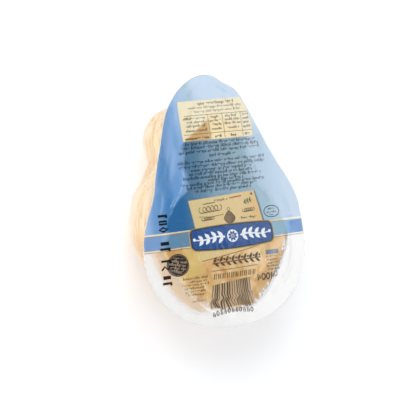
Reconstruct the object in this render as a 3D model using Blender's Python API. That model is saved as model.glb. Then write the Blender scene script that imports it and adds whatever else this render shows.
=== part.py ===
"""Sealed pack of one pear-shaped smoked cheese, lying on its back.

The cheese sits in a clear formed film that hugs it like a skin and runs out
into a flat teardrop flange. A thin printed film closes the front, on top here.

Frame: +Y runs along the cheese from its base to its tied head, +Z is up and
out of the printed film. The origin is under the middle of the flange, level
with the small flat spot on the cheese's back that the pack rests on. The model
is laid out in millimetres along Y from the flange's widest line, and each
piece is then placed so that its metres are in the frame above.
"""

import math

import bmesh
import bpy

MM = 0.001

# ------------------------------------------------------------ driving sizes
FLANGE_HALF_WIDTH = 45.6      # at Y = 0, the widest line of the flange
FLANGE_BOTTOM = -41.7         # lowest point of the flange along Y
FLANGE_APEX = 85.9            # highest point of the flange along Y
FLANGE_FLANK = 0.39           # how fast the straight flanks draw in
FLANK_START = 6.2             # where the flanks start, along Y
FLANK_SOFTNESS = 14.4         # how softly they start
APEX_START = 63.7             # where the rounded apex starts
NOTCH_Y = 82.0                # small peel corner near the apex, on the right
NOTCH_DEPTH = 2.35
NOTCH_HEIGHT = 2.7
RIGHT_FLARE = 3.6             # the right flank stands out
LEFT_DRAW = 1.8               # and the left one is drawn in by the cheese

FILM_LEVEL = 58.8             # height of the flange plane over the flat spot
PLATE = 0.6                   # flange layer of the formed film
LID = 0.5                     # printed film
GAP = 0.3                     # between the two films

DOME = 2.2                    # how far the cheese pushes the printed film out
DOME_SOFT = 16.0
VALLEY = 0.14                 # how deep the vacuum pulls it beside the cheese
VALLEY_AT = 4.0
WAVE = 0.20                   # slow waves of the free flange
BOW_ACROSS = 1200.0           # radii of the whole film's slow curvature
BOW_ALONG = 4000.0

HUB = (0.0, 12.0)             # the films' rings run round this point

CHEESE_X = 0.6                # the cheese's axis, across
CHEESE_Y = 8.9                # and the middle of its belly, along

# Stations along the cheese's axis: place along it, half-width, depth of the
# axis behind the flange plane, then how far the back and the front reach from
# the axis. The front is fuller at the belly, where it is pressed on the film.
STATIONS = {
    "base tip":      (-43.4, 0.0, 13.0, 0.0, 0.0),
    "base":          (-41.2, 13.0, 13.6, 12.9, 17.4),
    "base round":    (-36.2, 19.4, 14.6, 20.4, 24.2),
    "base slope":    (-28.5, 25.6, 16.2, 29.4, 34.0),
    "low belly":     (-19.5, 31.4, 18.0, 35.6, 48.0),
    "under belly":   (-9.2, 36.9, 19.8, 38.6, 45.4),
    "belly":         (-1.5, 39.2, 20.8, 39.8, 40.2),
    "over belly":    (6.5, 38.8, 21.4, 39.4, 35.5),
    "shoulder":      (14.0, 37.1, 21.6, 38.5, 30.3),
    "high shoulder": (21.0, 35.4, 21.4, 36.2, 25.4),
    "throat":        (27.2, 31.2, 21.0, 32.4, 25.5),
    "collar":        (33.6, 28.2, 20.6, 28.4, 26.3),
    "waist":         (36.8, 27.1, 20.4, 27.0, 26.0),
    "head low":      (41.4, 27.3, 20.3, 27.3, 26.0),
    "head":          (46.5, 27.7, 20.4, 27.8, 26.0),
    "brow":          (52.8, 26.1, 21.0, 26.4, 25.0),
    "crown edge":    (59.4, 22.0, 22.0, 22.0, 21.0),
    "crown round":   (63.4, 14.8, 22.6, 14.8, 14.4),
    "crown":         (65.6, 6.2, 23.0, 6.2, 6.2),
    "crown tip":     (66.1, 0.0, 23.1, 0.0, 0.0),
}

SEAL_OUT = 0.8                # the seal line, from pressed front to widest line
SECTORS = 68                  # around the films
RINGS = 11                    # from their middle to their edge
CHEESE_AROUND = 60
CHEESE_ALONG = 40
FOLDS = 11                    # soft folds gathered at the waist
FOLD_DEPTH = 0.45
FLAT_SPOT_CUT = 30.0
FULLNESS = 0.8                # the low belly is squarer where it meets the film


# ------------------------------------------------------------------- curves
def hermite(table, t, column):
    """Smooth interpolation of one column of the stations, without overshoot."""
    rows = list(table.values())
    if t <= rows[0][0]:
        return rows[0][column]
    if t >= rows[-1][0]:
        return rows[-1][column]
    i = max(k for k in range(len(rows) - 1) if rows[k][0] <= t)

    def slope(k):
        if k <= 0 or k >= len(rows) - 1:
            j = min(max(k, 1), len(rows) - 1)
            return (rows[j][column] - rows[j - 1][column]) / (rows[j][0] - rows[j - 1][0])
        a = (rows[k][column] - rows[k - 1][column]) / (rows[k][0] - rows[k - 1][0])
        b = (rows[k + 1][column] - rows[k][column]) / (rows[k + 1][0] - rows[k][0])
        if a * b <= 0:
            return 0.0
        return 2 * a * b / (a + b)

    t0, t1 = rows[i][0], rows[i + 1][0]
    h = t1 - t0
    s = (t - t0) / h
    p0, p1 = rows[i][column], rows[i + 1][column]
    m0, m1 = slope(i) * h, slope(i + 1) * h
    return ((2 * s ** 3 - 3 * s ** 2 + 1) * p0 + (s ** 3 - 2 * s ** 2 + s) * m0
            + (-2 * s ** 3 + 3 * s ** 2) * p1 + (s ** 3 - s ** 2) * m1)


def cheese_section(t):
    """Half-width, axis depth, reach of the back and reach of the front at t."""
    return tuple(hermite(STATIONS, t, column) for column in (1, 2, 3, 4))


def fullness(t):
    """Exponent of the front's rounding: 2 is an ellipse, more is squarer."""
    s = min(max((2.0 - t) / 18.0, 0.0), 1.0)
    return 2.0 + FULLNESS * s * s * (3 - 2 * s)


def rounding(t, u):
    """Height of the front at the share u of its half-width, from 1 down to 0."""
    p = fullness(t)
    return max(0.0, 1 - min(abs(u), 1.0) ** p) ** (1 / p)


def half_width(y):
    """Half-width of the flange at height y along its axis."""
    if y <= FLANGE_BOTTOM or y >= FLANGE_APEX:
        return 0.0
    if y < 0:
        u = y / FLANGE_BOTTOM
        low = FLANGE_HALF_WIDTH * (1 - u ** 2.25) ** (1 / 2.15)
    else:
        low = FLANGE_HALF_WIDTH
    a = y - FLANK_START
    flank = (FLANGE_HALF_WIDTH + 1.75
             - 0.5 * FLANGE_FLANK * (a + math.hypot(a, FLANK_SOFTNESS)))
    width = min(low, flank) if y < 0 else flank
    if y > APEX_START:
        v = (y - APEX_START) / (FLANGE_APEX - APEX_START)
        width *= math.sqrt(max(0.0, 1 - v ** 3.0))
    return width


def swell(y, amount, middle, spread):
    return amount * math.exp(-((y - middle) / spread) ** 2)


def side_width(y, side):
    """The flange's width on one side of its axis; side is -1 left, +1 right."""
    w = half_width(y)
    if side > 0:
        return (w + swell(y, RIGHT_FLARE, 23.0, 16.0) - swell(y, 0.6, 68.0, 8.0)
                - swell(y, NOTCH_DEPTH, NOTCH_Y, NOTCH_HEIGHT))
    return w - swell(y, LEFT_DRAW, 27.0, 11.0) + swell(y, 1.0, 65.0, 11.0)


def edge_point(angle):
    """Point of the flange outline seen from its middle under an angle."""
    dx, dy = math.cos(angle), math.sin(angle)
    near, far = 0.0, 140.0
    for _ in range(60):
        mid = 0.5 * (near + far)
        x, y = HUB[0] + dx * mid, HUB[1] + dy * mid
        if (FLANGE_BOTTOM < y < FLANGE_APEX
                and abs(x) < side_width(y, 1 if x > 0 else -1)):
            near = mid
        else:
            far = mid
    return HUB[0] + dx * near, HUB[1] + dy * near


def cheese_front(x, y):
    """Height of the cheese's own round front over the flange plane."""
    t = y - CHEESE_Y
    low, high = STATIONS["base tip"][0], STATIONS["crown tip"][0]
    beyond = max(low - t, t - high, 0.0)
    t = min(max(t, low), high)
    wide, depth, _, front = cheese_section(t)
    x = abs(x - CHEESE_X)
    if x < wide:
        return -depth + front * rounding(t, x / wide) - beyond
    return -depth - (x - wide) - beyond


def film_relief(x, y):
    """Height of the printed film over the flange plane."""
    m = cheese_front(x, y)
    bow = -x ** 2 / (2 * BOW_ACROSS) - (y - 18.0) ** 2 / (2 * BOW_ALONG)
    if m > 0:
        return DOME * (1 - math.exp(-m / DOME_SOFT)) + bow
    s = -m / VALLEY_AT
    valley = -VALLEY * s * math.exp(1 - s)
    angle = math.atan2(y - HUB[1], x - HUB[0])
    wave = WAVE * math.sin(3 * angle + 0.7) * (1 - math.exp(m / 6.0)) ** 2
    return valley + wave + bow


OUTLINE = [edge_point(2 * math.pi * k / SECTORS) for k in range(SECTORS)]
MIDDLE_X = 0.5 * (min(x for x, _ in OUTLINE) + max(x for x, _ in OUTLINE))
MIDDLE_Y = 0.5 * (min(y for _, y in OUTLINE) + max(y for _, y in OUTLINE))


# --------------------------------------------------------------- small tools
def clear_scene():
    for obj in list(bpy.data.objects):
        bpy.data.objects.remove(obj, do_unlink=True)


def collection(name):
    col = bpy.data.collections.new(name)
    bpy.context.scene.collection.children.link(col)
    return col


def add_object(name, bm, col):
    bmesh.ops.recalc_face_normals(bm, faces=bm.faces)
    mesh = bpy.data.meshes.new(name)
    bm.to_mesh(mesh)
    bm.free()
    obj = bpy.data.objects.new(name, mesh)
    obj.location = (-MIDDLE_X * MM, -MIDDLE_Y * MM, 0.0)
    col.objects.link(obj)
    return obj


def material(name, colour, roughness):
    mat = bpy.data.materials.new(name)
    mat.use_nodes = True
    shader = mat.node_tree.nodes["Principled BSDF"]
    shader.inputs["Base Color"].default_value = (*colour, 1.0)
    shader.inputs["Roughness"].default_value = roughness
    shader.inputs["Metallic"].default_value = 0.0
    return mat


def film_sheet(name, col, under, thickness, grow=0.0, flat_top=None):
    """A teardrop sheet that follows the film's relief.

    Its rings run from a middle point to the flange outline. `under` is how far
    its lower face lies over the relief, `grow` adds one more ring outside the
    outline, and `flat_top` replaces the upper face by a level one."""
    bm = bmesh.new()
    middle_x, middle_y = HUB

    def layer(offset, level=None):
        def height(x, y):
            return level if level is not None else FILM_LEVEL + film_relief(x, y) + offset
        centre = bm.verts.new((middle_x * MM, middle_y * MM,
                               height(middle_x, middle_y) * MM))
        rings = []
        # rings crowd towards the edge, where the valley is
        steps = [(i / RINGS) ** 0.8 for i in range(1, RINGS + 1)]
        for i, f in enumerate(steps + ([1.0] if grow else [])):
            ring = []
            for ex, ey in OUTLINE:
                dx, dy = ex - middle_x, ey - middle_y
                reach = math.hypot(dx, dy)
                scale = (f * reach + (grow if i == RINGS else 0.0)) / reach
                x, y = middle_x + dx * scale, middle_y + dy * scale
                ring.append(bm.verts.new((x * MM, y * MM, height(x, y) * MM)))
            rings.append(ring)
        for k in range(SECTORS):
            j = (k + 1) % SECTORS
            bm.faces.new((centre, rings[0][k], rings[0][j]))
            for a, b in zip(rings, rings[1:]):
                # the same diagonal on every sheet keeps them parallel
                bm.faces.new((a[k], b[k], b[j]))
                bm.faces.new((a[k], b[j], a[j]))
        return rings[-1]

    low = layer(under)
    high = layer(under + thickness, flat_top)
    for k in range(SECTORS):
        j = (k + 1) % SECTORS
        bm.faces.new((low[k], low[j], high[j], high[k]))
    return add_object(name, bm, col)


def cheese_solid(name, col):
    """The pear: a round primitive drawn out along the stations."""
    bm = bmesh.new()
    bmesh.ops.create_uvsphere(bm, u_segments=CHEESE_AROUND,
                              v_segments=CHEESE_ALONG, radius=1.0)
    low, high = STATIONS["base tip"][0], STATIONS["crown tip"][0]
    waist = STATIONS["waist"][0]
    for v in bm.verts:
        # the poles of the primitive become the base tip and the crown tip
        polar = math.acos(max(-1.0, min(1.0, v.co.z)))
        around = math.atan2(v.co.y, v.co.x)
        t = 0.5 * (high + low) + 0.5 * (high - low) * math.cos(polar)
        wide, depth, back, front = cheese_section(t)
        gather = math.exp(-((t - waist) / 11.0) ** 2)
        relief = (0.35 * math.sin(2 * around + 0.07 * t)
                  + 0.25 * math.sin(3 * around - 0.11 * t + 1.0)
                  - FOLD_DEPTH * gather * (1 + math.cos(FOLDS * around + 0.12 * t)))
        grown = 1 + relief * min(1.0, wide / 16.0) / max(wide, 1.0)
        if math.sin(around) > 0:
            rise = front * rounding(t, math.cos(around))
        else:
            rise = back * math.sin(around)
        v.co = ((CHEESE_X + wide * grown * math.cos(around)) * MM,
                (CHEESE_Y + t) * MM,
                (FILM_LEVEL - depth + grown * rise) * MM)
    return add_object(name, bm, col)


def seal_half_width(t):
    """Where the formed film leaves the flange, beside the pressed front."""
    wide, depth, _, front = cheese_section(t)
    pressed = wide * rounding(t, depth / front) if front > depth else 0.0
    return SEAL_OUT * wide + (1 - SEAL_OUT) * pressed


def pocket_wall(name, col):
    """Where the formed film leaves the flange: a wall that leans out from the
    flange down to the cheese's widest line, closed at both ends."""
    steps = 48
    low, high = STATIONS["base tip"][0] + 0.6, STATIONS["crown tip"][0] - 0.5
    stations = [0.5 * (high + low) - 0.5 * (high - low) * math.cos(math.pi * i / steps)
                for i in range(steps + 1)]
    loop = [(t, 1) for t in stations] + [(t, -1) for t in reversed(stations[1:-1])]
    lifted = 6.0
    bm = bmesh.new()
    upper, lower = [], []
    for t, side in loop:
        wide, depth, _, _ = cheese_section(t)
        foot = 0.985 * wide - 0.3
        head = min(seal_half_width(t), foot)
        # the wall runs on past the flange, where the film's relief cuts it off
        head -= (foot - head) * lifted / depth
        upper.append(bm.verts.new(((CHEESE_X + side * head) * MM, (CHEESE_Y + t) * MM,
                                   (FILM_LEVEL + lifted) * MM)))
        lower.append(bm.verts.new(((CHEESE_X + side * foot) * MM, (CHEESE_Y + t) * MM,
                                   (FILM_LEVEL - depth) * MM)))
    n = len(loop)
    for i in range(n):
        j = (i + 1) % n
        bm.faces.new((upper[i], upper[j], lower[j], lower[i]))
    half = len(stations)
    right = list(range(half))
    left = [0] + list(range(n - 1, half - 1, -1)) + [half - 1]
    for ring in (upper, lower):
        for a, b, c, d in zip(right, right[1:], left, left[1:]):
            corners = []
            for index in (a, b, d, c):
                if ring[index] not in corners:
                    corners.append(ring[index])
            bm.faces.new(corners)
    return add_object(name, bm, col)


def box(name, col, size, centre):
    bm = bmesh.new()
    bmesh.ops.create_cube(bm, size=1.0)
    for v in bm.verts:
        v.co = [(c + s * p) * MM for c, s, p in zip(centre, size, v.co)]
    return add_object(name, bm, col)


def boolean(target, other, operation):
    mod = target.modifiers.new(operation.lower(), "BOOLEAN")
    mod.operation = operation
    mod.solver = "EXACT"
    mod.object = other


def hide_as_cutter(obj):
    obj.hide_render = True
    obj.display_type = "WIRE"


def smooth(obj, degrees):
    obj.data.shade_smooth()
    obj.data.set_sharp_from_angle(angle=math.radians(degrees))


# --------------------------------------------------------------------- build
clear_scene()
parts = collection("sealed_smoked_cheese")
cutters = collection("cutters")

# the cheese in its clear formed film, with the flange that it runs out into
pocket = cheese_solid("cheese_in_film", parts)
pocket.data.materials.append(material("clear_film_over_cheese", (0.85, 0.70, 0.46), 0.22))

front_cut = film_sheet("front_cut", cutters, under=-GAP - 0.5 * PLATE, thickness=0.0,
                       grow=12.0, flat_top=FILM_LEVEL + 40.0)
flat_spot = box("flat_spot_cut", cutters, (200.0, 260.0, FLAT_SPOT_CUT),
                (0.0, 12.0, -0.5 * FLAT_SPOT_CUT))
wall = pocket_wall("pocket_wall", cutters)
plate = film_sheet("flange_layer", cutters, under=-GAP - PLATE, thickness=PLATE)
for helper in (front_cut, flat_spot, wall, plate):
    hide_as_cutter(helper)

boolean(pocket, wall, "UNION")
boolean(pocket, front_cut, "DIFFERENCE")
boolean(pocket, flat_spot, "DIFFERENCE")
boolean(pocket, plate, "UNION")
smooth(pocket, 40)

# the printed film that closes the front
lid = film_sheet("lid_film", parts, under=0.0, thickness=LID)
lid.data.materials.append(material("printed_film", (0.36, 0.56, 0.78), 0.18))
smooth(lid, 40)
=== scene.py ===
"""Looks of a sealed pack of one pear-shaped smoked cheese, lying on its back.

The pack is laid out in millimetres along Y from the widest line of its flange,
as the CAD source is, and moved into the row frame when a mesh is made.
"""

import math

import bmesh
import bpy
import numpy as np
from mathutils import Matrix, Vector


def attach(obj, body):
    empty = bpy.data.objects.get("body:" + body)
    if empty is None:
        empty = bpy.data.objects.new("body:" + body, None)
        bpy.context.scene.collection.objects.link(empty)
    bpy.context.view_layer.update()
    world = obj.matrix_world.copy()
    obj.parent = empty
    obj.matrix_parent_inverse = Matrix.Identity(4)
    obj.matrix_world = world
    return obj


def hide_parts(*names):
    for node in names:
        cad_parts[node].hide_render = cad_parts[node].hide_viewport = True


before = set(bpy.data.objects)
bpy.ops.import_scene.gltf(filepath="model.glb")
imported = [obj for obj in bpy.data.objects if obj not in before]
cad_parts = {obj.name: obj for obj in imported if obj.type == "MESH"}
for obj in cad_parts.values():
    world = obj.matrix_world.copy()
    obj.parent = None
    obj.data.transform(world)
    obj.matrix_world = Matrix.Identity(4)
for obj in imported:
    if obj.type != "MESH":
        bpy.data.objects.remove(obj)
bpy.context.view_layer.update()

MM = 0.001
MIDDLE_X, MIDDLE_Y = 0.188, 22.1     # layout point over the row frame's origin

# ------------------------------------------------------------ driving sizes
FLANGE_HALF_WIDTH = 45.6
FLANGE_BOTTOM = -41.7
FLANGE_APEX = 85.9
FLANGE_FLANK = 0.39
FLANK_START = 6.2
FLANK_SOFTNESS = 14.4
APEX_START = 63.7
NOTCH_Y = 82.0
NOTCH_DEPTH = 2.35
NOTCH_HEIGHT = 2.7
RIGHT_FLARE = 3.6
LEFT_DRAW = 1.8

FILM_LEVEL = 58.8
DOME = 2.2
DOME_SOFT = 16.0
VALLEY = 0.14
VALLEY_AT = 4.0
WAVE = 0.20
BOW_ACROSS = 1200.0                  # slow curvature of the whole front film
BOW_ALONG = 4000.0
HUB = (0.0, 12.0)
CHEESE_X = 0.6
CHEESE_Y = 8.9
FOLDS = 11
FOLD_DEPTH = 0.45
SEAL_OUT = 0.8
FULLNESS = 0.8                       # the low belly is squarer at the film
EDGE_KEEP = 0.9972                   # the true outline, just inside the CAD's

# place along the cheese, half-width, depth of its axis, reach of back and front
STATIONS = np.array([
    (-43.4, 0.0, 13.0, 0.0, 0.0),
    (-41.2, 13.0, 13.6, 12.9, 17.4),
    (-36.2, 19.4, 14.6, 20.4, 24.2),
    (-28.5, 25.6, 16.2, 29.4, 34.0),
    (-19.5, 31.4, 18.0, 35.6, 48.0),
    (-9.2, 36.9, 19.8, 38.6, 45.4),
    (-1.5, 39.2, 20.8, 39.8, 40.2),
    (6.5, 38.8, 21.4, 39.4, 35.5),
    (14.0, 37.1, 21.6, 38.5, 30.3),
    (21.0, 35.4, 21.4, 36.2, 25.4),
    (27.2, 31.2, 21.0, 32.4, 25.5),
    (33.6, 28.2, 20.6, 28.4, 26.3),
    (36.8, 27.1, 20.4, 27.0, 26.0),
    (41.4, 27.3, 20.3, 27.3, 26.0),
    (46.5, 27.7, 20.4, 27.8, 26.0),
    (52.8, 26.1, 21.0, 26.4, 25.0),
    (59.4, 22.0, 22.0, 22.0, 21.0),
    (63.4, 14.8, 22.6, 14.8, 14.4),
    (65.6, 6.2, 23.0, 6.2, 6.2),
    (66.1, 0.0, 23.1, 0.0, 0.0),
])
TIP_LOW, TIP_HIGH = STATIONS[0, 0], STATIONS[-1, 0]
WAIST = 36.8

# heights of the layers over the printed film's relief
CHEESE_LEVEL = -0.04
BLUE_LEVEL = 0.05
PANEL_LEVEL = 0.11
PLAQUE_LEVEL = 0.17
TEXT_LEVEL = 0.22
FRONT_LEVEL = 0.34
CODE_LEVEL = 0.39
INNER_LEVEL = 0.01
BACK_TOP = -0.02
BACK_UNDER = -0.28


# ------------------------------------------------------------------- curves
def column_slopes(column):
    rows = STATIONS
    steps = np.diff(rows[:, column]) / np.diff(rows[:, 0])
    slopes = np.zeros(len(rows))
    for k in range(1, len(rows) - 1):
        a, b = steps[k - 1], steps[k]
        slopes[k] = 0.0 if a * b <= 0 else 2 * a * b / (a + b)
    slopes[0], slopes[-1] = steps[0], steps[-1]
    return slopes


SLOPES = {column: column_slopes(column) for column in (1, 2, 3, 4)}


def hermite(t, column):
    t = np.clip(np.asarray(t, float), TIP_LOW, TIP_HIGH)
    i = np.clip(np.searchsorted(STATIONS[:, 0], t, side="right") - 1, 0, len(STATIONS) - 2)
    h = STATIONS[i + 1, 0] - STATIONS[i, 0]
    s = (t - STATIONS[i, 0]) / h
    v, m = STATIONS[:, column], SLOPES[column]
    return ((2 * s ** 3 - 3 * s ** 2 + 1) * v[i] + (s ** 3 - 2 * s ** 2 + s) * m[i] * h
            + (-2 * s ** 3 + 3 * s ** 2) * v[i + 1] + (s ** 3 - s ** 2) * m[i + 1] * h)


def section(t):
    return tuple(hermite(t, column) for column in (1, 2, 3, 4))


def rounding(t, u):
    """Height of the front at the share u of its half-width, from 1 down to 0."""
    p = 2.0 + FULLNESS * smoothstep(2.0, -16.0, np.asarray(t, float))
    return np.maximum(0.0, 1 - np.minimum(np.abs(u), 1.0) ** p) ** (1 / p)


def swell(y, amount, middle, spread):
    return amount * np.exp(-((y - middle) / spread) ** 2)


def side_width(x, y):
    """Half-width of the flange at y on the side where x lies."""
    u = np.clip(y / FLANGE_BOTTOM, 0.0, 1.0)
    low = FLANGE_HALF_WIDTH * (1 - u ** 2.25) ** (1 / 2.15)
    a = y - FLANK_START
    flank = (FLANGE_HALF_WIDTH + 1.75
             - 0.5 * FLANGE_FLANK * (a + np.hypot(a, FLANK_SOFTNESS)))
    width = np.where(y < 0, np.minimum(low, flank), flank)
    v = np.clip((y - APEX_START) / (FLANGE_APEX - APEX_START), 0.0, 1.0)
    width = width * np.sqrt(1 - v ** 3)
    right = (width + swell(y, RIGHT_FLARE, 23.0, 16.0) - swell(y, 0.6, 68.0, 8.0)
             - swell(y, NOTCH_DEPTH, NOTCH_Y, NOTCH_HEIGHT))
    left = width - swell(y, LEFT_DRAW, 27.0, 11.0) + swell(y, 1.0, 65.0, 11.0)
    return np.where(x > 0, right, left)


def in_outline(x, y):
    return (y > FLANGE_BOTTOM) & (y < FLANGE_APEX) & (np.abs(x) < side_width(x, y))


def in_section(x, y, share=None):
    """Inside the cheese's widest line, or inside the seal line if share is set."""
    t = y - CHEESE_Y
    wide, depth, _, front = section(t)
    if share is not None:
        ratio = np.where(front > depth, depth / np.maximum(front, 1e-6), 1.0)
        pressed = wide * rounding(t, ratio)
        wide = share * wide + (1 - share) * pressed
    return (t > TIP_LOW) & (t < TIP_HIGH) & (np.abs(x - CHEESE_X) < wide)


def radius_of(theta, inside):
    near, far = np.zeros_like(theta), np.full_like(theta, 140.0)
    for _ in range(46):
        mid = 0.5 * (near + far)
        ok = inside(HUB[0] + np.cos(theta) * mid, HUB[1] + np.sin(theta) * mid)
        near, far = np.where(ok, mid, near), np.where(ok, far, mid)
    return near


def smoothstep(low, high, x):
    s = np.clip((x - low) / (high - low), 0.0, 1.0)
    return s * s * (3 - 2 * s)


def noise(x, y, seed, wrap=None):
    """Smooth noise from -1 to 1 with cells of size 1; x may wrap round."""
    size = 97
    table = np.random.default_rng(seed).uniform(-1, 1, (size, size))
    x, y = np.broadcast_arrays(np.asarray(x, float), np.asarray(y, float))
    ix, iy = np.floor(x).astype(int), np.floor(y).astype(int)
    fx, fy = x - ix, y - iy
    sx = fx ** 3 * (fx * (fx * 6 - 15) + 10)
    sy = fy ** 3 * (fy * (fy * 6 - 15) + 10)
    period = wrap or size
    x0, x1 = ix % period % size, (ix + 1) % period % size
    y0, y1 = iy % size, (iy + 1) % size
    low = table[x0, y0] * (1 - sx) + table[x1, y0] * sx
    high = table[x0, y1] * (1 - sx) + table[x1, y1] * sx
    return low * (1 - sy) + high * sy


def ridged(x, y, seed):
    return 1 - np.abs(noise(x, y, seed)) * 2.2


# ----------------------------------------------------- relief of the front film
def cheese_front(x, y):
    """Height of the cheese's own round front over the flange plane."""
    t = y - CHEESE_Y
    beyond = np.maximum(np.maximum(TIP_LOW - t, t - TIP_HIGH), 0.0)
    wide, depth, _, front = section(t)
    ax = np.abs(x - CHEESE_X)
    inner = -depth + front * rounding(t, ax / np.maximum(wide, 1e-6))
    return np.where(ax < wide, inner, -depth - (ax - wide)) - beyond


def relief_table():
    """The film's height against the cheese's own height, slightly softened."""
    m = np.arange(-80.0, 60.0, 0.05)
    s = np.maximum(-m, 0.0) / VALLEY_AT
    raw = np.where(m > 0, DOME * (1 - np.exp(-np.maximum(m, 0.0) / DOME_SOFT)),
                   -VALLEY * s * np.exp(1 - s))
    k = np.arange(-9.0, 9.001, 0.05)
    kernel = np.exp(-(k / 2.8) ** 2)
    return m, np.convolve(raw, kernel / kernel.sum(), mode="same")


M_STEPS, M_HEIGHTS = relief_table()

# creases of the front film: points, height of the ridge, half-width
CREASES = [
    (((-16.4, 55.0), (-16.2, 47.0), (-17.6, 38.0), (-18.3, 32.4)), -0.12, 0.9),
    (((-18.1, 33.0), (-20.4, 28.6), (-23.2, 24.9), (-26.0, 20.4), (-28.6, 16.2),
      (-30.6, 12.2)), -0.18, 0.9),
    (((-19.4, 33.5), (-22.0, 28.8), (-24.9, 25.0), (-27.6, 20.6), (-30.2, 16.4)),
     0.30, 0.8),
    (((-29.0, 13.2), (-25.6, 13.9), (-22.4, 13.8)), 0.13, 0.55),
    (((-31.6, 30.0), (-33.5, 22.0), (-36.5, 14.0)), 0.09, 1.3),
    (((21.5, 33.0), (22.6, 27.0), (26.4, 20.4), (27.6, 15.0)), 0.17, 0.9),
    (((19.4, 44.0), (21.4, 36.0), (22.5, 30.0)), -0.13, 1.0),
    (((25.2, 24.0), (27.0, 19.0), (30.6, 15.8)), 0.15, 0.7),
    (((32.5, 9.0), (35.5, 7.4), (40.0, 7.0), (45.0, 7.2)), 0.11, 0.8),
    (((29.0, 6.6), (34.0, 5.0), (39.0, 4.0)), 0.08, 0.6),
    (((31.0, 10.5), (37.0, 10.8), (43.5, 10.6)), 0.08, 0.7),
    (((-40.0, 6.6), (-36.0, 5.0), (-31.0, 4.4)), 0.07, 0.7),
    (((34.5, -2.0), (33.4, -9.0), (30.0, -15.5), (24.5, -20.5)), 0.08, 0.7),
    (((37.5, 3.0), (38.2, -6.0), (35.5, -14.5), (30.5, -21.5), (23.0, -28.0)),
     0.22, 1.4),
    (((22.5, -16.0), (17.0, -19.5), (12.5, -24.6)), 0.06, 0.6),
    (((-27.0, -15.5), (-22.0, -19.0), (-15.5, -21.2)), 0.07, 0.7),
    (((-24.0, -22.0), (-18.5, -24.2), (-12.0, -29.5)), 0.07, 0.7),
    (((-31.6, -13.0), (-27.4, -19.6), (-21.2, -26.8)), 0.08, 0.8),
    (((-14.0, -27.5), (-9.0, -31.6), (-1.0, -33.6)), 0.06, 0.6),
    (((5.0, -33.0), (10.6, -29.6), (14.8, -24.2)), 0.07, 0.6),
    (((-2.5, 74.6), (-8.0, 68.0), (-13.0, 60.0)), 0.18, 1.3),
    (((8.5, 76.0), (14.0, 70.6), (18.8, 62.0)), 0.17, 1.3),
    (((-10.5, 75.0), (-5.0, 79.0), (1.5, 81.0)), 0.22, 1.3),
    (((2.0, 80.6), (8.0, 77.6), (13.5, 73.6)), -0.16, 1.2),
    (((-22.0, 50.0), (-25.0, 42.0), (-27.0, 34.0)), 0.09, 1.5),
]


def crease_field(x, y):
    out = np.zeros_like(x)
    for points, height, width in CREASES:
        pts = np.array(points)
        reach = 4 * width
        near = ((x > pts[:, 0].min() - reach) & (x < pts[:, 0].max() + reach)
                & (y > pts[:, 1].min() - reach) & (y < pts[:, 1].max() + reach))
        if not near.any():
            continue
        px, py = x[near], y[near]
        lengths = np.hypot(*np.diff(pts, axis=0).T)
        starts = np.r_[0.0, np.cumsum(lengths)]
        best = np.full(px.shape, 1e9)
        along = np.zeros(px.shape)
        for k, length in enumerate(lengths):
            d = (pts[k + 1] - pts[k]) / length
            s = np.clip((px - pts[k, 0]) * d[0] + (py - pts[k, 1]) * d[1], 0, length)
            gap = np.hypot(px - pts[k, 0] - s * d[0], py - pts[k, 1] - s * d[1])
            closer = gap < best
            best = np.where(closer, gap, best)
            along = np.where(closer, starts[k] + s, along)
        share = along / starts[-1]
        taper = np.clip(np.minimum(share, 1 - share) * 3.2, 0, 1) ** 0.7
        out[near] += height * taper * np.exp(-(best / width) ** 2)
    return out


def crinkle(x, y, m):
    """Fine wrinkles: stronger on the lower contact, faint under the text."""
    lower = smoothstep(10.0, 2.0, y) * smoothstep(-6.0, 0.5, m)
    body = smoothstep(-3.0, 2.0, m) * (1 - smoothstep(10.0, 2.0, y))
    free = smoothstep(0.0, -6.0, m)
    skew = noise(x / 9.0, y / 9.0, 5)
    sharp = (ridged(x / 6.3 + 0.8 * skew, y / 3.6 + 0.7 * skew, 11)
             + 0.5 * ridged(x / 2.9 + 7.0, y / 2.4 + skew, 12))
    out = lower * 0.055 * sharp
    out += body * (0.035 * noise(x / 5.2, y / 7.4, 13) + 0.012 * noise(x / 2.2, y / 2.6, 14))
    out += free * (0.07 * noise(x / 11.0, y / 14.0, 15) + 0.015 * noise(x / 3.6, y / 4.2, 16))
    # short pleats across the line where the film leaves the cheese
    angle = np.arctan2(y - HUB[1], x - HUB[0])
    turns = 46.0 / (2 * math.pi)
    pleat = noise(angle * turns, m / 7.0 + 40.0, 17, wrap=46)
    out += (0.035 + 0.055 * smoothstep(6.0, -6.0, y)) * np.exp(-((m + 1.2) / 3.2) ** 2) * pleat
    return out


def film(x, y):
    """Height of the front film over the flange plane, in layout millimetres."""
    x, y = np.asarray(x, float), np.asarray(y, float)
    m = cheese_front(x, y)
    angle = np.arctan2(y - HUB[1], x - HUB[0])
    wave = WAVE * np.sin(3 * angle + 0.7) * (1 - np.exp(np.minimum(m, 0.0) / 6.0)) ** 2
    bow = -x ** 2 / (2 * BOW_ACROSS) - (y - 18.0) ** 2 / (2 * BOW_ALONG)
    return (np.interp(m, M_STEPS, M_HEIGHTS) + wave + bow + crease_field(x, y)
            + crinkle(x, y, m))


AIR_FOLD = [(31.5, -1.5), (27.5, -5.0), (20.5, -11.5), (15.5, -15.0), (11.5, -20.0),
            (10.5, -24.0)]


def edge_gap(x, y):
    """Rough distance inside the line where the cheese meets the film plane."""
    m = cheese_front(x, y)
    across = (cheese_front(x + 0.2, y) - m) / 0.2
    along = (cheese_front(x, y + 0.2) - m) / 0.2
    return m / np.maximum(np.hypot(across, along), 0.35)


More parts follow.
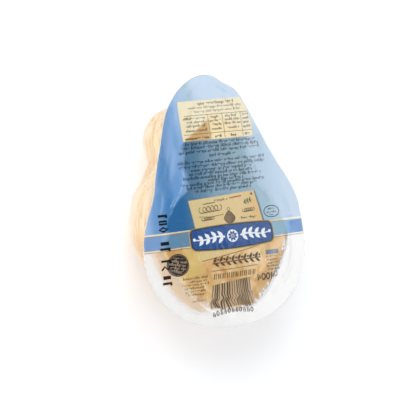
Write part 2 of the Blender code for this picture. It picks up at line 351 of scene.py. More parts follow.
def feathered(x, y):
    """Where the edge of the contact breaks up into feathers, from 0 to 1."""
    return smoothstep(1.0, -3.0, y) * np.maximum(
        smoothstep(-6.0, 8.0, x), smoothstep(-16.0, -24.0, y) * smoothstep(-22.0, -10.0, x))


def contact(x, y):
    """1 where the cheese wets the front film, 0 where it is free of it."""
    m = cheese_front(x, y)
    jag = 0.9 * noise(x / 6.0, y / 6.0, 21) + 0.5 * noise(x / 1.7, y / 1.7, 22) * (
        smoothstep(8.0, -6.0, y))
    rough = smoothstep(6.0, -8.0, y)
    left = smoothstep(8.0, -22.0, x)
    head = smoothstep(50.0, 60.0, y)
    neck = smoothstep(30.0, 42.0, y) * smoothstep(0.0, -8.0, x)
    right = smoothstep(4.0, 18.0, x) * smoothstep(-3.0, 3.0, y)
    strap = smoothstep(12.0, 8.0, y) * smoothstep(-1.0, 1.5, y) * smoothstep(-8.0, -20.0, x)
    reach = (0.5 - rough * (1.4 + 1.2 * left) - 1.2 * neck + 1.6 * head - 1.2 * right
             + 3.0 * strap)
    fade = 0.7 + rough * (0.6 + 0.9 * left) + 1.6 * head + 2.2 * right + 0.8 * neck + strap
    wet = smoothstep(-fade, fade, m - reach + jag * (0.4 + 1.4 * rough))
    # over the head the film lifts off along a slant
    lift = (y - 54.0) - 0.72 * (x + 14.0)
    wet = wet * (1 - smoothstep(-0.6, 0.8, lift) * smoothstep(1.0, -1.5, x))
    # air under a long fold at the right, and small pockets near the edge
    gap = np.full(np.shape(m), 99.0)
    for (ax, ay), (bx, by) in zip(AIR_FOLD, AIR_FOLD[1:]):
        s = np.clip(((x - ax) * (bx - ax) + (y - ay) * (by - ay))
                    / ((bx - ax) ** 2 + (by - ay) ** 2), 0, 1)
        gap = np.minimum(gap, np.hypot(x - ax - s * (bx - ax), y - ay - s * (by - ay)))
    wide = 1.6 + 1.6 * smoothstep(-14.0, -3.0, y)
    air = 0.9 * smoothstep(1.3 * wide, 0.3 * wide, gap + 0.9 * noise(x / 2.2, y / 2.2, 24))
    grains = noise(x / 3.4, y / 2.4, 25) + 0.6 * noise(x / 1.5, y / 1.3, 26)
    pocket = smoothstep(0.15, 0.75, grains) * smoothstep(16.0, 4.0, m)
    wet = wet * (1 - air) * (1 - 0.55 * pocket * smoothstep(-8.0, -15.0, y))
    d = edge_gap(x, y)
    turn = np.arctan2(y - HUB[1], x - HUB[0]) / (2 * math.pi)
    strand = (0.5 * noise(turn * 96, d / 5.0 + 11.0, 27, wrap=96)
              + 1.0 * noise(turn * 215 + 0.2 * d, d / 3.0 + 5.0, 28, wrap=215))
    low = smoothstep(-0.6, 0.6, d - 0.9 - 0.2 * smoothstep(-14.0, -24.0, y) + 3.4 * strand)
    return wet * (1 - feathered(x, y) * (1 - low))


def painted_light_tone(x, y):
    """Tint of the printed sky, with painted light in it: 0 deep at the left, 1 pale at the right and apex.
    The paler right is painted sheen, the paler apex painted backlight, the pale strips about x = -28
    painted highlight and the darker rim on the upper left flank painted shade.
    """
    u = x + 28.0
    # left: a V, deepest at x = -28; the paler strips to either side are painted highlight
    left = np.where(u > 0, 0.5 * (1 - np.exp(-np.maximum(u, 0.0) / 6.0)), -0.035 * u)
    # across: painted sheen, paler towards the right
    across = 0.30 * smoothstep(-20.0, 26.0, x) + 0.010 * np.maximum(x - 22.0, 0.0)
    # head: painted backlight, paler over the apex
    head = 0.016 * np.maximum(y - 52.0, 0.0) * smoothstep(-24.0, -2.0, x)
    # inset and rim: painted shade, darker along the upper left flank
    inset = x + side_width(np.full(np.shape(x), -1.0), y)
    rim = 0.15 * smoothstep(6.5, 1.0, inset) * smoothstep(44.0, 54.0, y) * smoothstep(
        74.0, 66.0, y)
    return np.clip(left + across + head - rim, 0.0, 1.0)


# ------------------------------------------------------------------- meshes
def place(points):
    out = np.asarray(points, float) - np.array([MIDDLE_X, MIDDLE_Y, 0.0])
    return out * MM


def new_mesh(name, points, faces, mat, nodes, values=None):
    """A smooth mesh from layout points and equal-sided faces, with values."""
    faces = np.asarray(faces, np.int32)
    sides = faces.shape[1]
    mesh = bpy.data.meshes.new(name)
    mesh.vertices.add(len(points))
    mesh.vertices.foreach_set("co", place(points).astype(np.float32).ravel())
    mesh.loops.add(faces.size)
    mesh.loops.foreach_set("vertex_index", faces.ravel())
    mesh.polygons.add(len(faces))
    mesh.polygons.foreach_set("loop_start", np.arange(0, faces.size, sides, dtype=np.int32))
    mesh.update(calc_edges=True)
    mesh.validate()
    mesh.shade_smooth()
    for key, data in (values or {}).items():
        layer = mesh.attributes.new(key, "FLOAT", "POINT")
        layer.data.foreach_set("value", np.asarray(data, np.float32).ravel())
    mesh.materials.append(mat)
    obj = bpy.data.objects.new(name, mesh)
    bpy.context.scene.collection.objects.link(obj)
    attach(obj, "root")
    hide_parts(*nodes)
    return obj


def quads(rows, columns, wrap, first=0, flip=False):
    """Faces of a grid of rows by columns; wrap closes each row."""
    count = columns if wrap else columns - 1
    r = np.arange(rows - 1)[:, None]
    c = np.arange(count)[None, :]
    n = (c + 1) % columns
    a, b = r * columns + c, r * columns + n
    d, e = (r + 1) * columns + c, (r + 1) * columns + n
    faces = np.stack([a, b, e, d], -1).reshape(-1, 4) + first
    return faces[:, ::-1] if flip else faces


# ---------------------------------------------------------------- materials
def lin(r, g, b):
    """Linear colour of an 8-bit screen colour."""
    out = []
    for v in (r, g, b):
        v = v / 255.0
        out.append(v / 12.92 if v <= 0.04045 else ((v + 0.055) / 1.055) ** 2.4)
    return (*out, 1.0)


class Tree:
    def __init__(self, name):
        self.mat = bpy.data.materials.new(name)
        self.mat.use_nodes = True
        self.tree = self.mat.node_tree
        self.tree.nodes.clear()
        self.out = self.tree.nodes.new("ShaderNodeOutputMaterial")

    def node(self, kind, inputs=None, **settings):
        node = self.tree.nodes.new(kind)
        for key, value in settings.items():
            setattr(node, key, value)
        for key, value in (inputs or {}).items():
            if isinstance(value, bpy.types.NodeSocket):
                self.tree.links.new(value, node.inputs[key])
            else:
                node.inputs[key].default_value = value
        return node

    def math(self, operation, *values, clamp=False):
        return self.node("ShaderNodeMath", dict(enumerate(values)),
                         operation=operation, use_clamp=clamp).outputs[0]

    def mix(self, factor, a, b):
        return self.node("ShaderNodeMix", {0: factor, 6: a, 7: b},
                         data_type="RGBA").outputs[2]

    def attribute(self, name):
        return self.node("ShaderNodeAttribute", attribute_name=name).outputs["Fac"]

    def coords(self, scale, rotation=(0.0, 0.0, 0.0)):
        """Object coordinates in millimetres, times scale."""
        if not hasattr(self, "texco"):
            self.texco = self.node("ShaderNodeTexCoord").outputs["Object"]
        return self.node("ShaderNodeMapping", {
            "Vector": self.texco, "Rotation": rotation,
            "Scale": tuple(1000.0 * s for s in scale)}).outputs[0]

    def noise(self, scale, detail=3.0, roughness=0.5, distortion=0.0, rotation=(0, 0, 0)):
        return self.node("ShaderNodeTexNoise", {
            "Vector": self.coords(scale, rotation), "Scale": 1.0, "Detail": detail,
            "Roughness": roughness, "Distortion": distortion}).outputs["Fac"]

    def ramp(self, factor, *stops):
        node = self.node("ShaderNodeValToRGB", {"Fac": factor})
        ramp = node.color_ramp
        ramp.interpolation = "EASE"
        while len(ramp.elements) < len(stops):
            ramp.elements.new(0.5)
        for element, (place_, colour) in zip(ramp.elements, stops):
            element.position = place_
            element.color = colour if not isinstance(colour, float) else (
                colour, colour, colour, 1.0)
        return node.outputs["Color"]

    def bump(self, height, strength, distance):
        return self.node("ShaderNodeBump", {
            "Height": height, "Strength": strength, "Distance": distance}).outputs[0]

    def finish(self, shader):
        self.tree.links.new(shader, self.out.inputs["Surface"])
        return self.mat


def cheese_material():
    t = Tree("smoked_cheese_rind")
    touch = t.attribute("contact")
    groove = t.attribute("groove")
    fibre = t.noise((0.50, 0.030, 0.50), detail=5.0, roughness=0.62, distortion=0.3)
    fine = t.noise((1.7, 0.10, 1.7), detail=3.0, roughness=0.6, distortion=0.3)
    cloud = t.noise((0.075, 0.05, 0.075), detail=3.0, roughness=0.5)
    streaks = t.math("MULTIPLY_ADD", fine, 0.42, t.math("MULTIPLY", fibre, 0.58))
    pale = t.ramp(streaks, (0.39, lin(217, 170, 112)), (0.48, lin(240, 211, 168)),
                  (0.58, lin(246, 227, 194)))
    toned = t.mix(t.math("MULTIPLY", t.ramp(cloud, (0.42, 0.0), (0.66, 1.0)), 0.5),
                  pale, lin(242, 214, 172))
    toned = t.mix(t.math("MULTIPLY", t.attribute("pale"), 0.45), toned, lin(242, 226, 204))
    toned = t.mix(t.math("MULTIPLY", t.attribute("warm"), 0.84), toned, lin(230, 180, 113))
    shaded = t.mix(t.math("MULTIPLY", groove, 0.62), toned, lin(214, 160, 98))
    blotch = t.noise((0.16, 0.11, 0.16), detail=4.0, roughness=0.6, distortion=0.6)
    wet = t.ramp(blotch, (0.34, lin(201, 150, 84)), (0.50, lin(219, 180, 117)),
                 (0.66, lin(235, 206, 158)))
    wet = t.mix(t.math("MULTIPLY", t.attribute("amber"), 0.55), wet, lin(198, 142, 66))
    colour = t.mix(touch, shaded, wet)
    height = t.math("MULTIPLY_ADD", fibre, 0.7, t.math("MULTIPLY", fine, 0.4))
    shader = t.node("ShaderNodeBsdfPrincipled", {
        "Base Color": colour, "Roughness": 0.45, "Specular IOR Level": 0.30,
        "Subsurface Weight": 0.22, "Subsurface Radius": (1.0, 0.55, 0.28),
        "Subsurface Scale": 0.0022,
        "Normal": t.bump(height, 0.35, 0.0003)})
    return t.finish(shader.outputs[0])


# what a print under the film gets of the light, and what the film adds to it
UNDER_FILM = 0.90
FILM_VEIL = 0.030


def seen(r, g, b, alpha, behind=1.0):
    """Colour of an ink that, printed under the film, looks like the given one."""
    out = []
    for v in lin(r, g, b)[:3]:
        ink = (v - FILM_VEIL - (1 - alpha) * behind) / (alpha * UNDER_FILM)
        out.append(min(max(ink, 0.006), 0.97))
    return (*out, 1.0)


def film_material(name, roughness, gain, wet_gain, haze_colour, wrinkle):
    """Clear glossy film: straight through, a reflection at each face, some haze.

    Where the cheese wets it, the inner face no longer reflects."""
    t = Tree(name)
    haze = t.attribute("haze")
    touch = t.attribute("contact")
    outer = t.math("SUBTRACT", 1.0, t.attribute("inner"))
    back = t.node("ShaderNodeNewGeometry").outputs["Backfacing"]
    ior = t.math("MULTIPLY_ADD", back, 1 / 1.5 - 1.5, 1.5)
    ripple = t.noise((0.28, 0.20, 0.28), detail=4.0, roughness=0.55, distortion=0.4)
    normal = t.bump(ripple, wrinkle, 0.0004)
    facing = t.node("ShaderNodeFresnel", {"IOR": ior, "Normal": normal}).outputs[0]
    faces = t.math("MULTIPLY_ADD", touch, wet_gain - gain, gain)
    share = t.math("MULTIPLY", t.math("MULTIPLY", facing, faces, clamp=True), outer)
    patch = t.noise((0.09, 0.06, 0.09), detail=3.0)
    rough = t.math("MULTIPLY_ADD", patch, 0.10, roughness - 0.05)
    clear = t.node("ShaderNodeBsdfTransparent", {"Color": (0.985, 0.99, 0.99, 1.0)})
    milky = t.node("ShaderNodeBsdfDiffuse", {"Color": haze_colour, "Normal": normal})
    # feathers of trapped air along the edge of the contact
    feather = t.ramp(t.noise((0.55, 0.55, 0.55), detail=5.0, roughness=0.68, distortion=1.4),
                     (0.50, 0.0), (0.60, 1.0))
    haze = t.math("MULTIPLY_ADD", t.attribute("fringe"), feather, haze, clamp=True)
    body = t.node("ShaderNodeMixShader", {0: haze, 1: clear.outputs[0], 2: milky.outputs[0]})
    gloss = t.node("ShaderNodeBsdfGlossy", {
        "Color": (1.0, 1.0, 1.0, 1.0), "Roughness": rough, "Normal": normal})
    both = t.node("ShaderNodeMixShader", {
        0: share, 1: body.outputs[0], 2: gloss.outputs[0]})
    return t.finish(both.outputs[0])


def ink_material(name, free, wet, alpha, spread=0.10, wet_alpha=None):
    """Ink printed inside the film; it darkens where the cheese wets it.

    A list of stops in place of a colour runs along the print's tone attributes, which hold painted light:
    painted sheen paler to the right, painted shade darker to the left."""
    t = Tree(name)
    touch = t.attribute("contact")
    mottle = t.noise((0.35, 0.35, 0.35), detail=4.0, roughness=0.6)
    grain = t.noise((3.0, 3.0, 3.0), detail=2.0)
    if isinstance(free, list):
        free = t.ramp(t.attribute("tone"), *free)
        # the wet ramp runs left to right: painted shade at the left, painted sheen at the right
        wet = t.ramp(t.attribute("wet_shade_to_sheen"), *wet)
    colour = t.mix(touch, free, wet)
    tone = t.math("MULTIPLY_ADD", t.math("MULTIPLY_ADD", grain, 0.5, mottle),
                  spread, 1.0 - 0.75 * spread)
    varied = t.node("ShaderNodeMix", {0: 1.0, 6: colour, 7: t.node(
        "ShaderNodeCombineColor", {0: tone, 1: tone, 2: tone}).outputs[0]},
        data_type="RGBA", blend_type="MULTIPLY").outputs[2]
    wet_alpha = alpha if wet_alpha is None else wet_alpha
    cover = t.math("MULTIPLY_ADD", touch, wet_alpha - alpha, alpha)
    cover = t.math("MULTIPLY_ADD", t.math("SUBTRACT", grain, 0.5), 0.10, cover, clamp=True)
    shader = t.node("ShaderNodeBsdfPrincipled", {
        "Base Color": varied, "Roughness": 0.6, "Specular IOR Level": 0.06,
        "Alpha": cover})
    return t.finish(shader.outputs[0])


# ------------------------------------------------------------------- cheese
def fibres(t, around):
    """Longitudinal pulled fibres, creases at the tied waist, folds at the crown."""
    turned = around / (2 * math.pi) + 0.0016 * (t - 40.0)
    wander = 0.35 * noise(turned * 7, t / 26.0, 31, wrap=7)
    wide = noise(turned * 34 + wander, t / 34.0, 32, wrap=34)
    slim = noise(turned * 83 + wander, t / 17.0, 33, wrap=83)
    valleys = -np.maximum(0.0, 0.42 - np.abs(noise(turned * 41 + wander, t / 40.0, 34,
                                                   wrap=41))) * 1.3
    gather = np.exp(-((t - WAIST + 1.0) / 6.5) ** 2)
    crown = smoothstep(48.0, 60.0, t)
    folds = -np.abs(noise(turned * 21, t / 30.0, 35, wrap=21))
    ring = np.exp(-((t - WAIST + 0.8 + 1.2 * noise(turned * 9, 3.0, 36, wrap=9)) / 1.1) ** 2)
    out = 0.16 * wide + 0.07 * slim + 0.30 * valleys
    out += 0.60 * gather * folds + 0.50 * crown * folds - 0.20 * ring
    groove = np.clip(-valleys * 1.1 + gather * np.maximum(0, -folds - 0.45) * 0.7
                     + crown * np.maximum(0, -folds - 0.5) * 0.6 + 0.20 * ring, 0, 1)
    return out, groove


def cheese_point(t, around, extra=0.0, detail=1.0):
    """Point on the cheese, extra millimetres outside it, and its groove value."""
    wide, depth, back, front = section(t)
    gather = np.exp(-((t - WAIST) / 11.0) ** 2)
    relief = (0.35 * np.sin(2 * around + 0.07 * t) + 0.25 * np.sin(3 * around - 0.11 * t + 1.0)
              - FOLD_DEPTH * gather * (1 + np.cos(FOLDS * around + 0.12 * t)))
    fine, groove = fibres(t, around)
    shrink = np.minimum(1.0, wide / 16.0)
    grown = 1 + (relief - 0.25) * shrink / np.maximum(wide, 1.0)
    rise = np.where(np.sin(around) > 0, front * rounding(t, np.cos(around)),
                    back * np.sin(around))
    push = detail * fine * shrink + extra
    x = CHEESE_X + (wide * grown + push) * np.cos(around)
    y = CHEESE_Y + t * (1 + (extra - 0.10) / 60.0)
    z = -depth + rise * grown + push * np.sin(around)
    return x, y, z, groove


def build_cheese(mat):
    rows, columns = 196, 470
    s = np.linspace(0.0, math.pi, rows)
    t = 0.5 * (TIP_HIGH + TIP_LOW) - 0.5 * (TIP_HIGH - TIP_LOW) * np.cos(s)
    around = np.linspace(0.0, 2 * math.pi, columns, endpoint=False)
    grid_t, grid_a = np.meshgrid(t, around, indexing="ij")
    x, y, z, groove = cheese_point(grid_t, grid_a)
    top = film(x, y) + CHEESE_LEVEL
    pressed = np.clip(smoothstep(-0.2, 0.5, z - top), 0, 1)
    near = smoothstep(-8.0, -4.5, z - top)
    z = np.minimum(z, top)
    z = np.maximum(z, -FILM_LEVEL + 0.25)
    wet = contact(x, y) * near * (np.sin(grid_a) > 0)
    amber = sum(np.exp(-((x - cx) / rx) ** 2 - ((y - cy) / ry) ** 2) for cx, cy, rx, ry in (
        (-16.0, -11.5, 7.0, 4.0), (18.0, -20.0, 6.0, 4.0), (-27.0, 0.0, 5.0, 3.0),
        (29.0, -9.0, 3.0, 6.0)))
    amber = np.clip(amber * (0.8 + 0.5 * noise(x / 3.0, y / 2.4, 29)), 0.0, 1.0)
    points = np.stack([x, y, z + FILM_LEVEL], -1).reshape(-1, 3)
    return new_mesh("cheese", points, quads(rows, columns, True, flip=True), mat,
                    ["cheese_in_film"],
                    {"contact": wet, "groove": groove * (1 - pressed),
                     "warm": smoothstep(8.0, -10.0, grid_t),
                     "pale": np.exp(-((grid_t - 22.0) / 11.0) ** 2),
                     "amber": amber})


# --------------------------------------------------------- the formed back film
def build_back(mat):
    columns = 460
    theta = np.linspace(0.0, 2 * math.pi, columns, endpoint=False)
    cos, sin = np.cos(theta), np.sin(theta)
    widest = radius_of(theta, in_section) * 0.9995
    seal = radius_of(theta, lambda x, y: in_section(x, y, SEAL_OUT))
    outline = radius_of(theta, in_outline) * EDGE_KEEP
    # the seal line keeps clear of sharp turns and of the outline
    for _ in range(6):
        seal = (np.roll(seal, 1) + 2 * seal + np.roll(seal, -1)) / 4
    seal = np.minimum(seal, outline - 3.0)
    rows, haze = [], []

    # the part that hugs the cheese's back
    wrinkle = lambda th, r: 0.10 * ridged(th * 15 / math.pi, r / 9.0, 41) + 0.05 * ridged(
        th * 33 / math.pi, r / 4.0, 42)
    for phi in np.linspace(0.02, 0.5 * math.pi, 74):
        rho = math.sin(phi)
        x, y = HUB[0] + rho * widest * cos, HUB[1] + rho * widest * sin
        t = y - CHEESE_Y
        wide = np.maximum(hermite(t, 1), 1e-3)
        c = np.clip((x - CHEESE_X) / wide, -1, 1)
        px, py, pz, _ = cheese_point(t, -np.arccos(c), extra=0.16, detail=0.85)
        px += 0.10 * np.maximum(0, wrinkle(theta, rho * widest)) * cos
        pz = np.maximum(pz, -FILM_LEVEL + 0.0)
        rows.append(np.stack([px, py, pz], -1))
        haze.append(np.full(columns, 0.015))
    # the wall from the widest line up to the seal, then the fillet
    foot = rows[-1]
    sx, sy = HUB[0] + seal * cos, HUB[1] + seal * sin
    out_x, out_y = cos, sin
    turn = 1.6
    head_z = film(sx, sy) + BACK_UNDER - turn
    pucker = noise(theta * 40 / math.pi, 2.0, 43, wrap=80)
    for s in np.linspace(0, 1, 27)[1:]:
        lean = s * s * (3 - 2 * s) * 0.35 + s * 0.65
        bulge = 0.5 * np.sin(math.pi * s) * (0.3 + 0.7 * pucker * s)
        px = foot[:, 0] + (sx - foot[:, 0]) * lean + bulge * out_x
        py = foot[:, 1] + (sy - foot[:, 1]) * lean + bulge * out_y
        pz = foot[:, 2] + (head_z - foot[:, 2]) * s
        rows.append(np.stack([px, py, pz], -1))
        haze.append(np.full(columns, 0.02 + 0.03 * s))
    for a in np.linspace(0, 0.5 * math.pi, 7)[1:]:
        px = sx + turn * (1 - math.cos(a)) * out_x
        py = sy + turn * (1 - math.cos(a)) * out_y
        pz = head_z + turn * math.sin(a)
        rows.append(np.stack([px, py, pz], -1))
        haze.append(np.full(columns, 0.05))
    # the flange's underside, its rounded edge and its upper face
    inner = seal + turn
    for s in (np.linspace(0, 1, 40)[1:]) ** 0.9:
        r = inner + (outline - 0.15 - inner) * s
        px, py = HUB[0] + r * cos, HUB[1] + r * sin
        rows.append(np.stack([px, py, film(px, py) + BACK_UNDER], -1))
        haze.append(0.03 + 0.10 * smoothstep(0.94, 1.0, s)
                    + 0.25 * smoothstep(6.0, -4.0, py) * smoothstep(-30.0, 10.0, px))
    for a in np.linspace(-0.5 * math.pi, 0.5 * math.pi, 6)[1:-1]:
        r = outline - 0.15 + 0.15 * math.cos(a)
        px, py = HUB[0] + r * cos, HUB[1] + r * sin
        middle = 0.5 * (BACK_UNDER + BACK_TOP)
        rows.append(np.stack([px, py, film(px, py) + middle
                              + 0.5 * (BACK_TOP - BACK_UNDER) * math.sin(a)], -1))
        haze.append(np.full(columns, 0.35))
    for s in np.linspace(1, 0.0, 4):
        r = outline - 0.15 - 1.3 * (1 - s)
        px, py = HUB[0] + r * cos, HUB[1] + r * sin
        rows.append(np.stack([px, py, film(px, py) + BACK_TOP], -1))
        haze.append(np.full(columns, 0.03 + 0.10 * s))
    grid = np.array(rows)
    # the wall and fillet that the flange hides reflect little
    dull = np.zeros(len(rows))
    dull[78:106] = 0.6
    dull = np.repeat(dull, columns)
    grid[:, :, 2] += FILM_LEVEL
    points = grid.reshape(-1, 3)
    faces = quads(len(rows), columns, True)
    centre = len(points)
    t0 = HUB[1] - CHEESE_Y
    c0 = np.array([-math.acos((HUB[0] - CHEESE_X) / float(hermite(t0, 1)))])
    cx, cy, cz, _ = cheese_point(np.array([t0]), c0, extra=0.16, detail=0.85)
    points = np.vstack([points, [[cx[0], cy[0], max(cz[0], -FILM_LEVEL) + FILM_LEVEL]]])
    hub = np.stack([np.full(columns, centre), (np.arange(columns) + 1) % columns,
                    np.arange(columns), np.arange(columns)], -1)
    obj = new_mesh("back_film", points, faces, mat, ["cheese_in_film"],
                   {"haze": np.r_[np.concatenate(haze), 0.015],
                    "contact": np.zeros(len(points)), "inner": np.r_[dull, 0.0]})
    bm = bmesh.new()
    bm.from_mesh(obj.data)
    bm.verts.ensure_lookup_table()
    for k in range(columns):
        bm.faces.new((bm.verts[centre], bm.verts[(k + 1) % columns], bm.verts[k]))
    bmesh.ops.recalc_face_normals(bm, faces=bm.faces)
    bm.to_mesh(obj.data)
    bm.free()
    obj.data.shade_smooth()
    return obj


# ------------------------------------------------------------- the front film
def build_front(mat):
    """The clear front film: glossy outer face, rolled edge and cloudy inner face."""
    columns, rings = 430, 100
    theta = np.linspace(0.0, 2 * math.pi, columns, endpoint=False)
    outline = radius_of(theta, in_outline) * EDGE_KEEP
    f = np.linspace(0.0, 1.0, rings)[1:, None]
    r = (outline - 0.14) * f
    x, y = HUB[0] + r * np.cos(theta), HUB[1] + r * np.sin(theta)
    relief = film(x, y)
    m = cheese_front(x, y)
    rows = [np.stack([x, y, relief + FRONT_LEVEL], -1)]
    hazes = [np.full(x.shape, 0.004) + 0.10 * smoothstep(1.6, 0.2, outline * (1 - f))]
    inner = [np.zeros_like(x)]
    # a rolled edge at the outline
    for a in (0.33, 0.66, 1.0):
        angle = a * 0.5 * math.pi
        edge = outline - 0.14 + 0.14 * math.sin(angle)
        px, py = HUB[0] + edge * np.cos(theta), HUB[1] + edge * np.sin(theta)
        drop = (FRONT_LEVEL - 0.05) * (1 - math.cos(angle))
        rows.append(np.stack([px, py, film(px, py) + FRONT_LEVEL - drop], -1)[None])
        hazes.append(np.full((1, columns), 0.30))
        inner.append(np.zeros((1, columns)))
    # the inner face: milky below the band, more so away from the cheese
    cloudy = noise(x / 8.0, y / 11.0, 51)
    lower = smoothstep(1.5, -0.5, y)
    side = np.maximum(smoothstep(14.0, -16.0, x), 0.7 * smoothstep(-24.0, -32.0, y))
    start, stop = 1.2 - 22.4 * side, -1.2 - 26.0 * side
    away = smoothstep(0.0, 1.0, (m + 0.8 * cloudy - start) / (stop - start))
    milk = np.where(m > 4.0, 0.0, 0.05 + 0.05 * side + (0.78 + 0.05 * cloudy) * away)
    opened = (1 - contact(x, y)) * feathered(x, y) * smoothstep(5.5, 3.0, edge_gap(x, y))
    milk = np.maximum(milk, 0.88 * opened)
    milk = np.maximum(milk, 0.88 * feathered(x, y) * smoothstep(0.9, 0.1, edge_gap(x, y)))
    rows.append(np.stack([x, y, relief + INNER_LEVEL], -1)[::-1])
    hazes.append((0.003 + lower * milk)[::-1])
    inner.append(np.ones_like(x))
    gap = edge_gap(x, y)
    edge = (smoothstep(-1.5, 0.0, gap) * smoothstep(8.5, 2.0, gap) * smoothstep(-1.0, -5.0, y)
            * np.maximum(smoothstep(2.0, 12.0, x), 0.25 * smoothstep(-16.0, -24.0, y)))
    edge = np.concatenate([np.zeros((len(x) + 3, columns)), 0.80 * edge[::-1]])
    grid, haze, inner = np.concatenate(rows), np.concatenate(hazes), np.concatenate(inner)
    middle = float(film(np.array([HUB[0]]), np.array([HUB[1]]))[0])
    points = np.vstack([grid.reshape(-1, 3), [[HUB[0], HUB[1], middle + FRONT_LEVEL],
                                              [HUB[0], HUB[1], middle + INNER_LEVEL]]])
    points[:, 2] += FILM_LEVEL
    obj = new_mesh("front_film", points, quads(len(grid), columns, True), mat, ["lid_film"],
                   {"haze": np.r_[haze.ravel(), 0.004, 0.003],
                                    "inner": np.r_[inner.ravel(), 0.0, 1.0],
                                    "fringe": np.r_[edge.ravel(), 0.0, 0.0],
                                    "contact": contact(points[:, 0], points[:, 1])})
    bm = bmesh.new()
    bm.from_mesh(obj.data)
    bm.verts.ensure_lookup_table()
    top, base = len(points) - 2, len(points) - 1
    last = (len(grid) - 1) * columns
    for k in range(columns):
        j = (k + 1) % columns
        bm.faces.new((bm.verts[top], bm.verts[k], bm.verts[j]))
        bm.faces.new((bm.verts[base], bm.verts[last + j], bm.verts[last + k]))
    bmesh.ops.recalc_face_normals(bm, faces=bm.faces)
    bm.to_mesh(obj.data)
    bm.free()
    obj.data.shade_smooth()
    return obj


# --------------------------------------------------------------- print shapes
def turned(shape, angle, centre=(0.0, 0.0)):
    c, s = math.cos(angle), math.sin(angle)
    return [(centre[0] + x * c - y * s, centre[1] + x * s + y * c) for x, y in shape]


def rect(x0, y0, x1, y1):
    return [(x0, y0), (x1, y0), (x1, y1), (x0, y1)]


def disc(x, y, rx, ry=None, sides=28):
    ry = rx if ry is None else ry
    return [(x + rx * math.cos(2 * math.pi * k / sides),
             y + ry * math.sin(2 * math.pi * k / sides)) for k in range(sides)]


def strip(points, width, closed=False):
    """Quads along a line of the given width."""
    pts = np.array(points, float)
    n = len(pts)
    if closed:
        ahead, behind = np.roll(pts, -1, 0), np.roll(pts, 1, 0)
    else:
        ahead = np.vstack([pts[1:], pts[-1:]])
        behind = np.vstack([pts[:1], pts[:-1]])
    d = ahead - behind
    d /= np.maximum(np.hypot(d[:, 0], d[:, 1]), 1e-9)[:, None]
    side = np.stack([-d[:, 1], d[:, 0]], -1) * 0.5
    w = np.broadcast_to(np.asarray(width, float), (n,))[:, None]
    left, right = pts + side * w, pts - side * w
    out = []
    for k in range(n if closed else n - 1):
        j = (k + 1) % n
        out.append([tuple(right[k]), tuple(right[j]), tuple(left[j]), tuple(left[k])])
    return out


def ring(x, y, rx, ry, width, sides=36):
    return strip(disc(x, y, rx, ry, sides), width, closed=True)


def leaf(x, y, length, width, angle):
    upper = [(length * s, 0.5 * width * math.sin(math.pi * s ** 0.8))
             for s in (0.0, 0.18, 0.38, 0.6, 0.8, 1.0)]
    lower = [(px, -py) for px, py in upper[-2:0:-1]]
    return turned(upper + lower, angle, (x, y))


def words(x0, x1, y, height, seed, letter=0.36, gap=0.32, space=0.70, lean=0.0):
    """A row of small upright dashes in groups."""
    rng = np.random.default_rng(seed)
    out, x = [], x0
    while x < x1 - letter:
        for _ in range(int(rng.integers(3, 12))):
            wide = letter * rng.uniform(0.8, 1.5)
            if x + wide > x1:
                break
            kind = rng.random()
            low, high = 0.0, 0.64 * height
            if kind < 0.24:
                high = height
            elif kind < 0.36:
                low = -0.30 * height
            elif kind < 0.52:
                low, high = 0.40 * height, 0.66 * height
                wide *= 1.5
            shape = [(x + lean * low, y + low), (x + wide + lean * low, y + low),
                     (x + wide + lean * high, y + high), (x + lean * high, y + high)]
            out.append(shape)
            x += wide + gap
        x += space
    return out


def print_mesh(name, shapes, level, mat, cell=None, clip=True):
    """Flat shapes cut on a fine lattice and laid on the film."""
    bm = bmesh.new()
    for shape in shapes:
        area = sum(a[0] * b[1] - b[0] * a[1] for a, b in zip(shape, shape[1:] + shape[:1]))
        if area < 0:
            shape = shape[::-1]
        bm.faces.new([bm.verts.new((x, y, 0.0)) for x, y in shape])
    if cell:
        xs = [v.co.x for v in bm.verts]
        ys = [v.co.y for v in bm.verts]
        for axis, low, high in ((0, min(xs), max(xs)), (1, min(ys), max(ys))):
            cut = math.floor(low / cell) * cell + cell
            while cut < high:
                point, normal = [0.0, 0.0, 0.0], [0.0, 0.0, 0.0]
                point[axis], normal[axis] = cut, 1.0
                bmesh.ops.bisect_plane(bm, geom=bm.verts[:] + bm.edges[:] + bm.faces[:],
                                       dist=1e-5, plane_co=point, plane_no=normal)
                cut += cell
    bmesh.ops.triangulate(bm, faces=bm.faces[:])
    bm.verts.index_update()
    flat = np.array([v.co[:] for v in bm.verts])
    faces = np.array([[v.index for v in f.verts] for f in bm.faces])
    bm.free()
    x, y = flat[:, 0], flat[:, 1]
    if clip:
        # shapes that run to the flange's edge follow its true outline
        theta = np.arctan2(y - HUB[1], x - HUB[0])
        limit = radius_of(theta, in_outline) * EDGE_KEEP - 0.2
        r = np.hypot(x - HUB[0], y - HUB[1])
        scale = np.minimum(1.0, limit / np.maximum(r, 1e-6))
        x, y = HUB[0] + (x - HUB[0]) * scale, HUB[1] + (y - HUB[1]) * scale
    points = np.stack([x, y, film(x, y) + level + FILM_LEVEL], -1)
    # tone and the wet ramp hold painted light: paler to the right is painted sheen, darker to the left
    # painted shade
    return new_mesh(name, points, faces, mat, ["lid_film"],
                    {"contact": contact(x, y), "tone": painted_light_tone(x, y),
                     "wet_shade_to_sheen": np.clip((x + 22.0) / 52.0, 0.0, 1.0)})


def outline_above(y_low, count=260):
    theta = np.linspace(0.0, 2 * math.pi, 4 * count, endpoint=False)
    r = radius_of(theta, in_outline) * EDGE_KEEP - 0.2
    x, y = HUB[0] + r * np.cos(theta), HUB[1] + r * np.sin(theta)
    keep = y > y_low
    first = int(np.argmax(keep & ~np.roll(keep, 1)))
    x, y, keep = np.roll(x, -first), np.roll(y, -first), np.roll(keep, -first)
    return [(a, b) for a, b, k in zip(x, y, keep) if k]


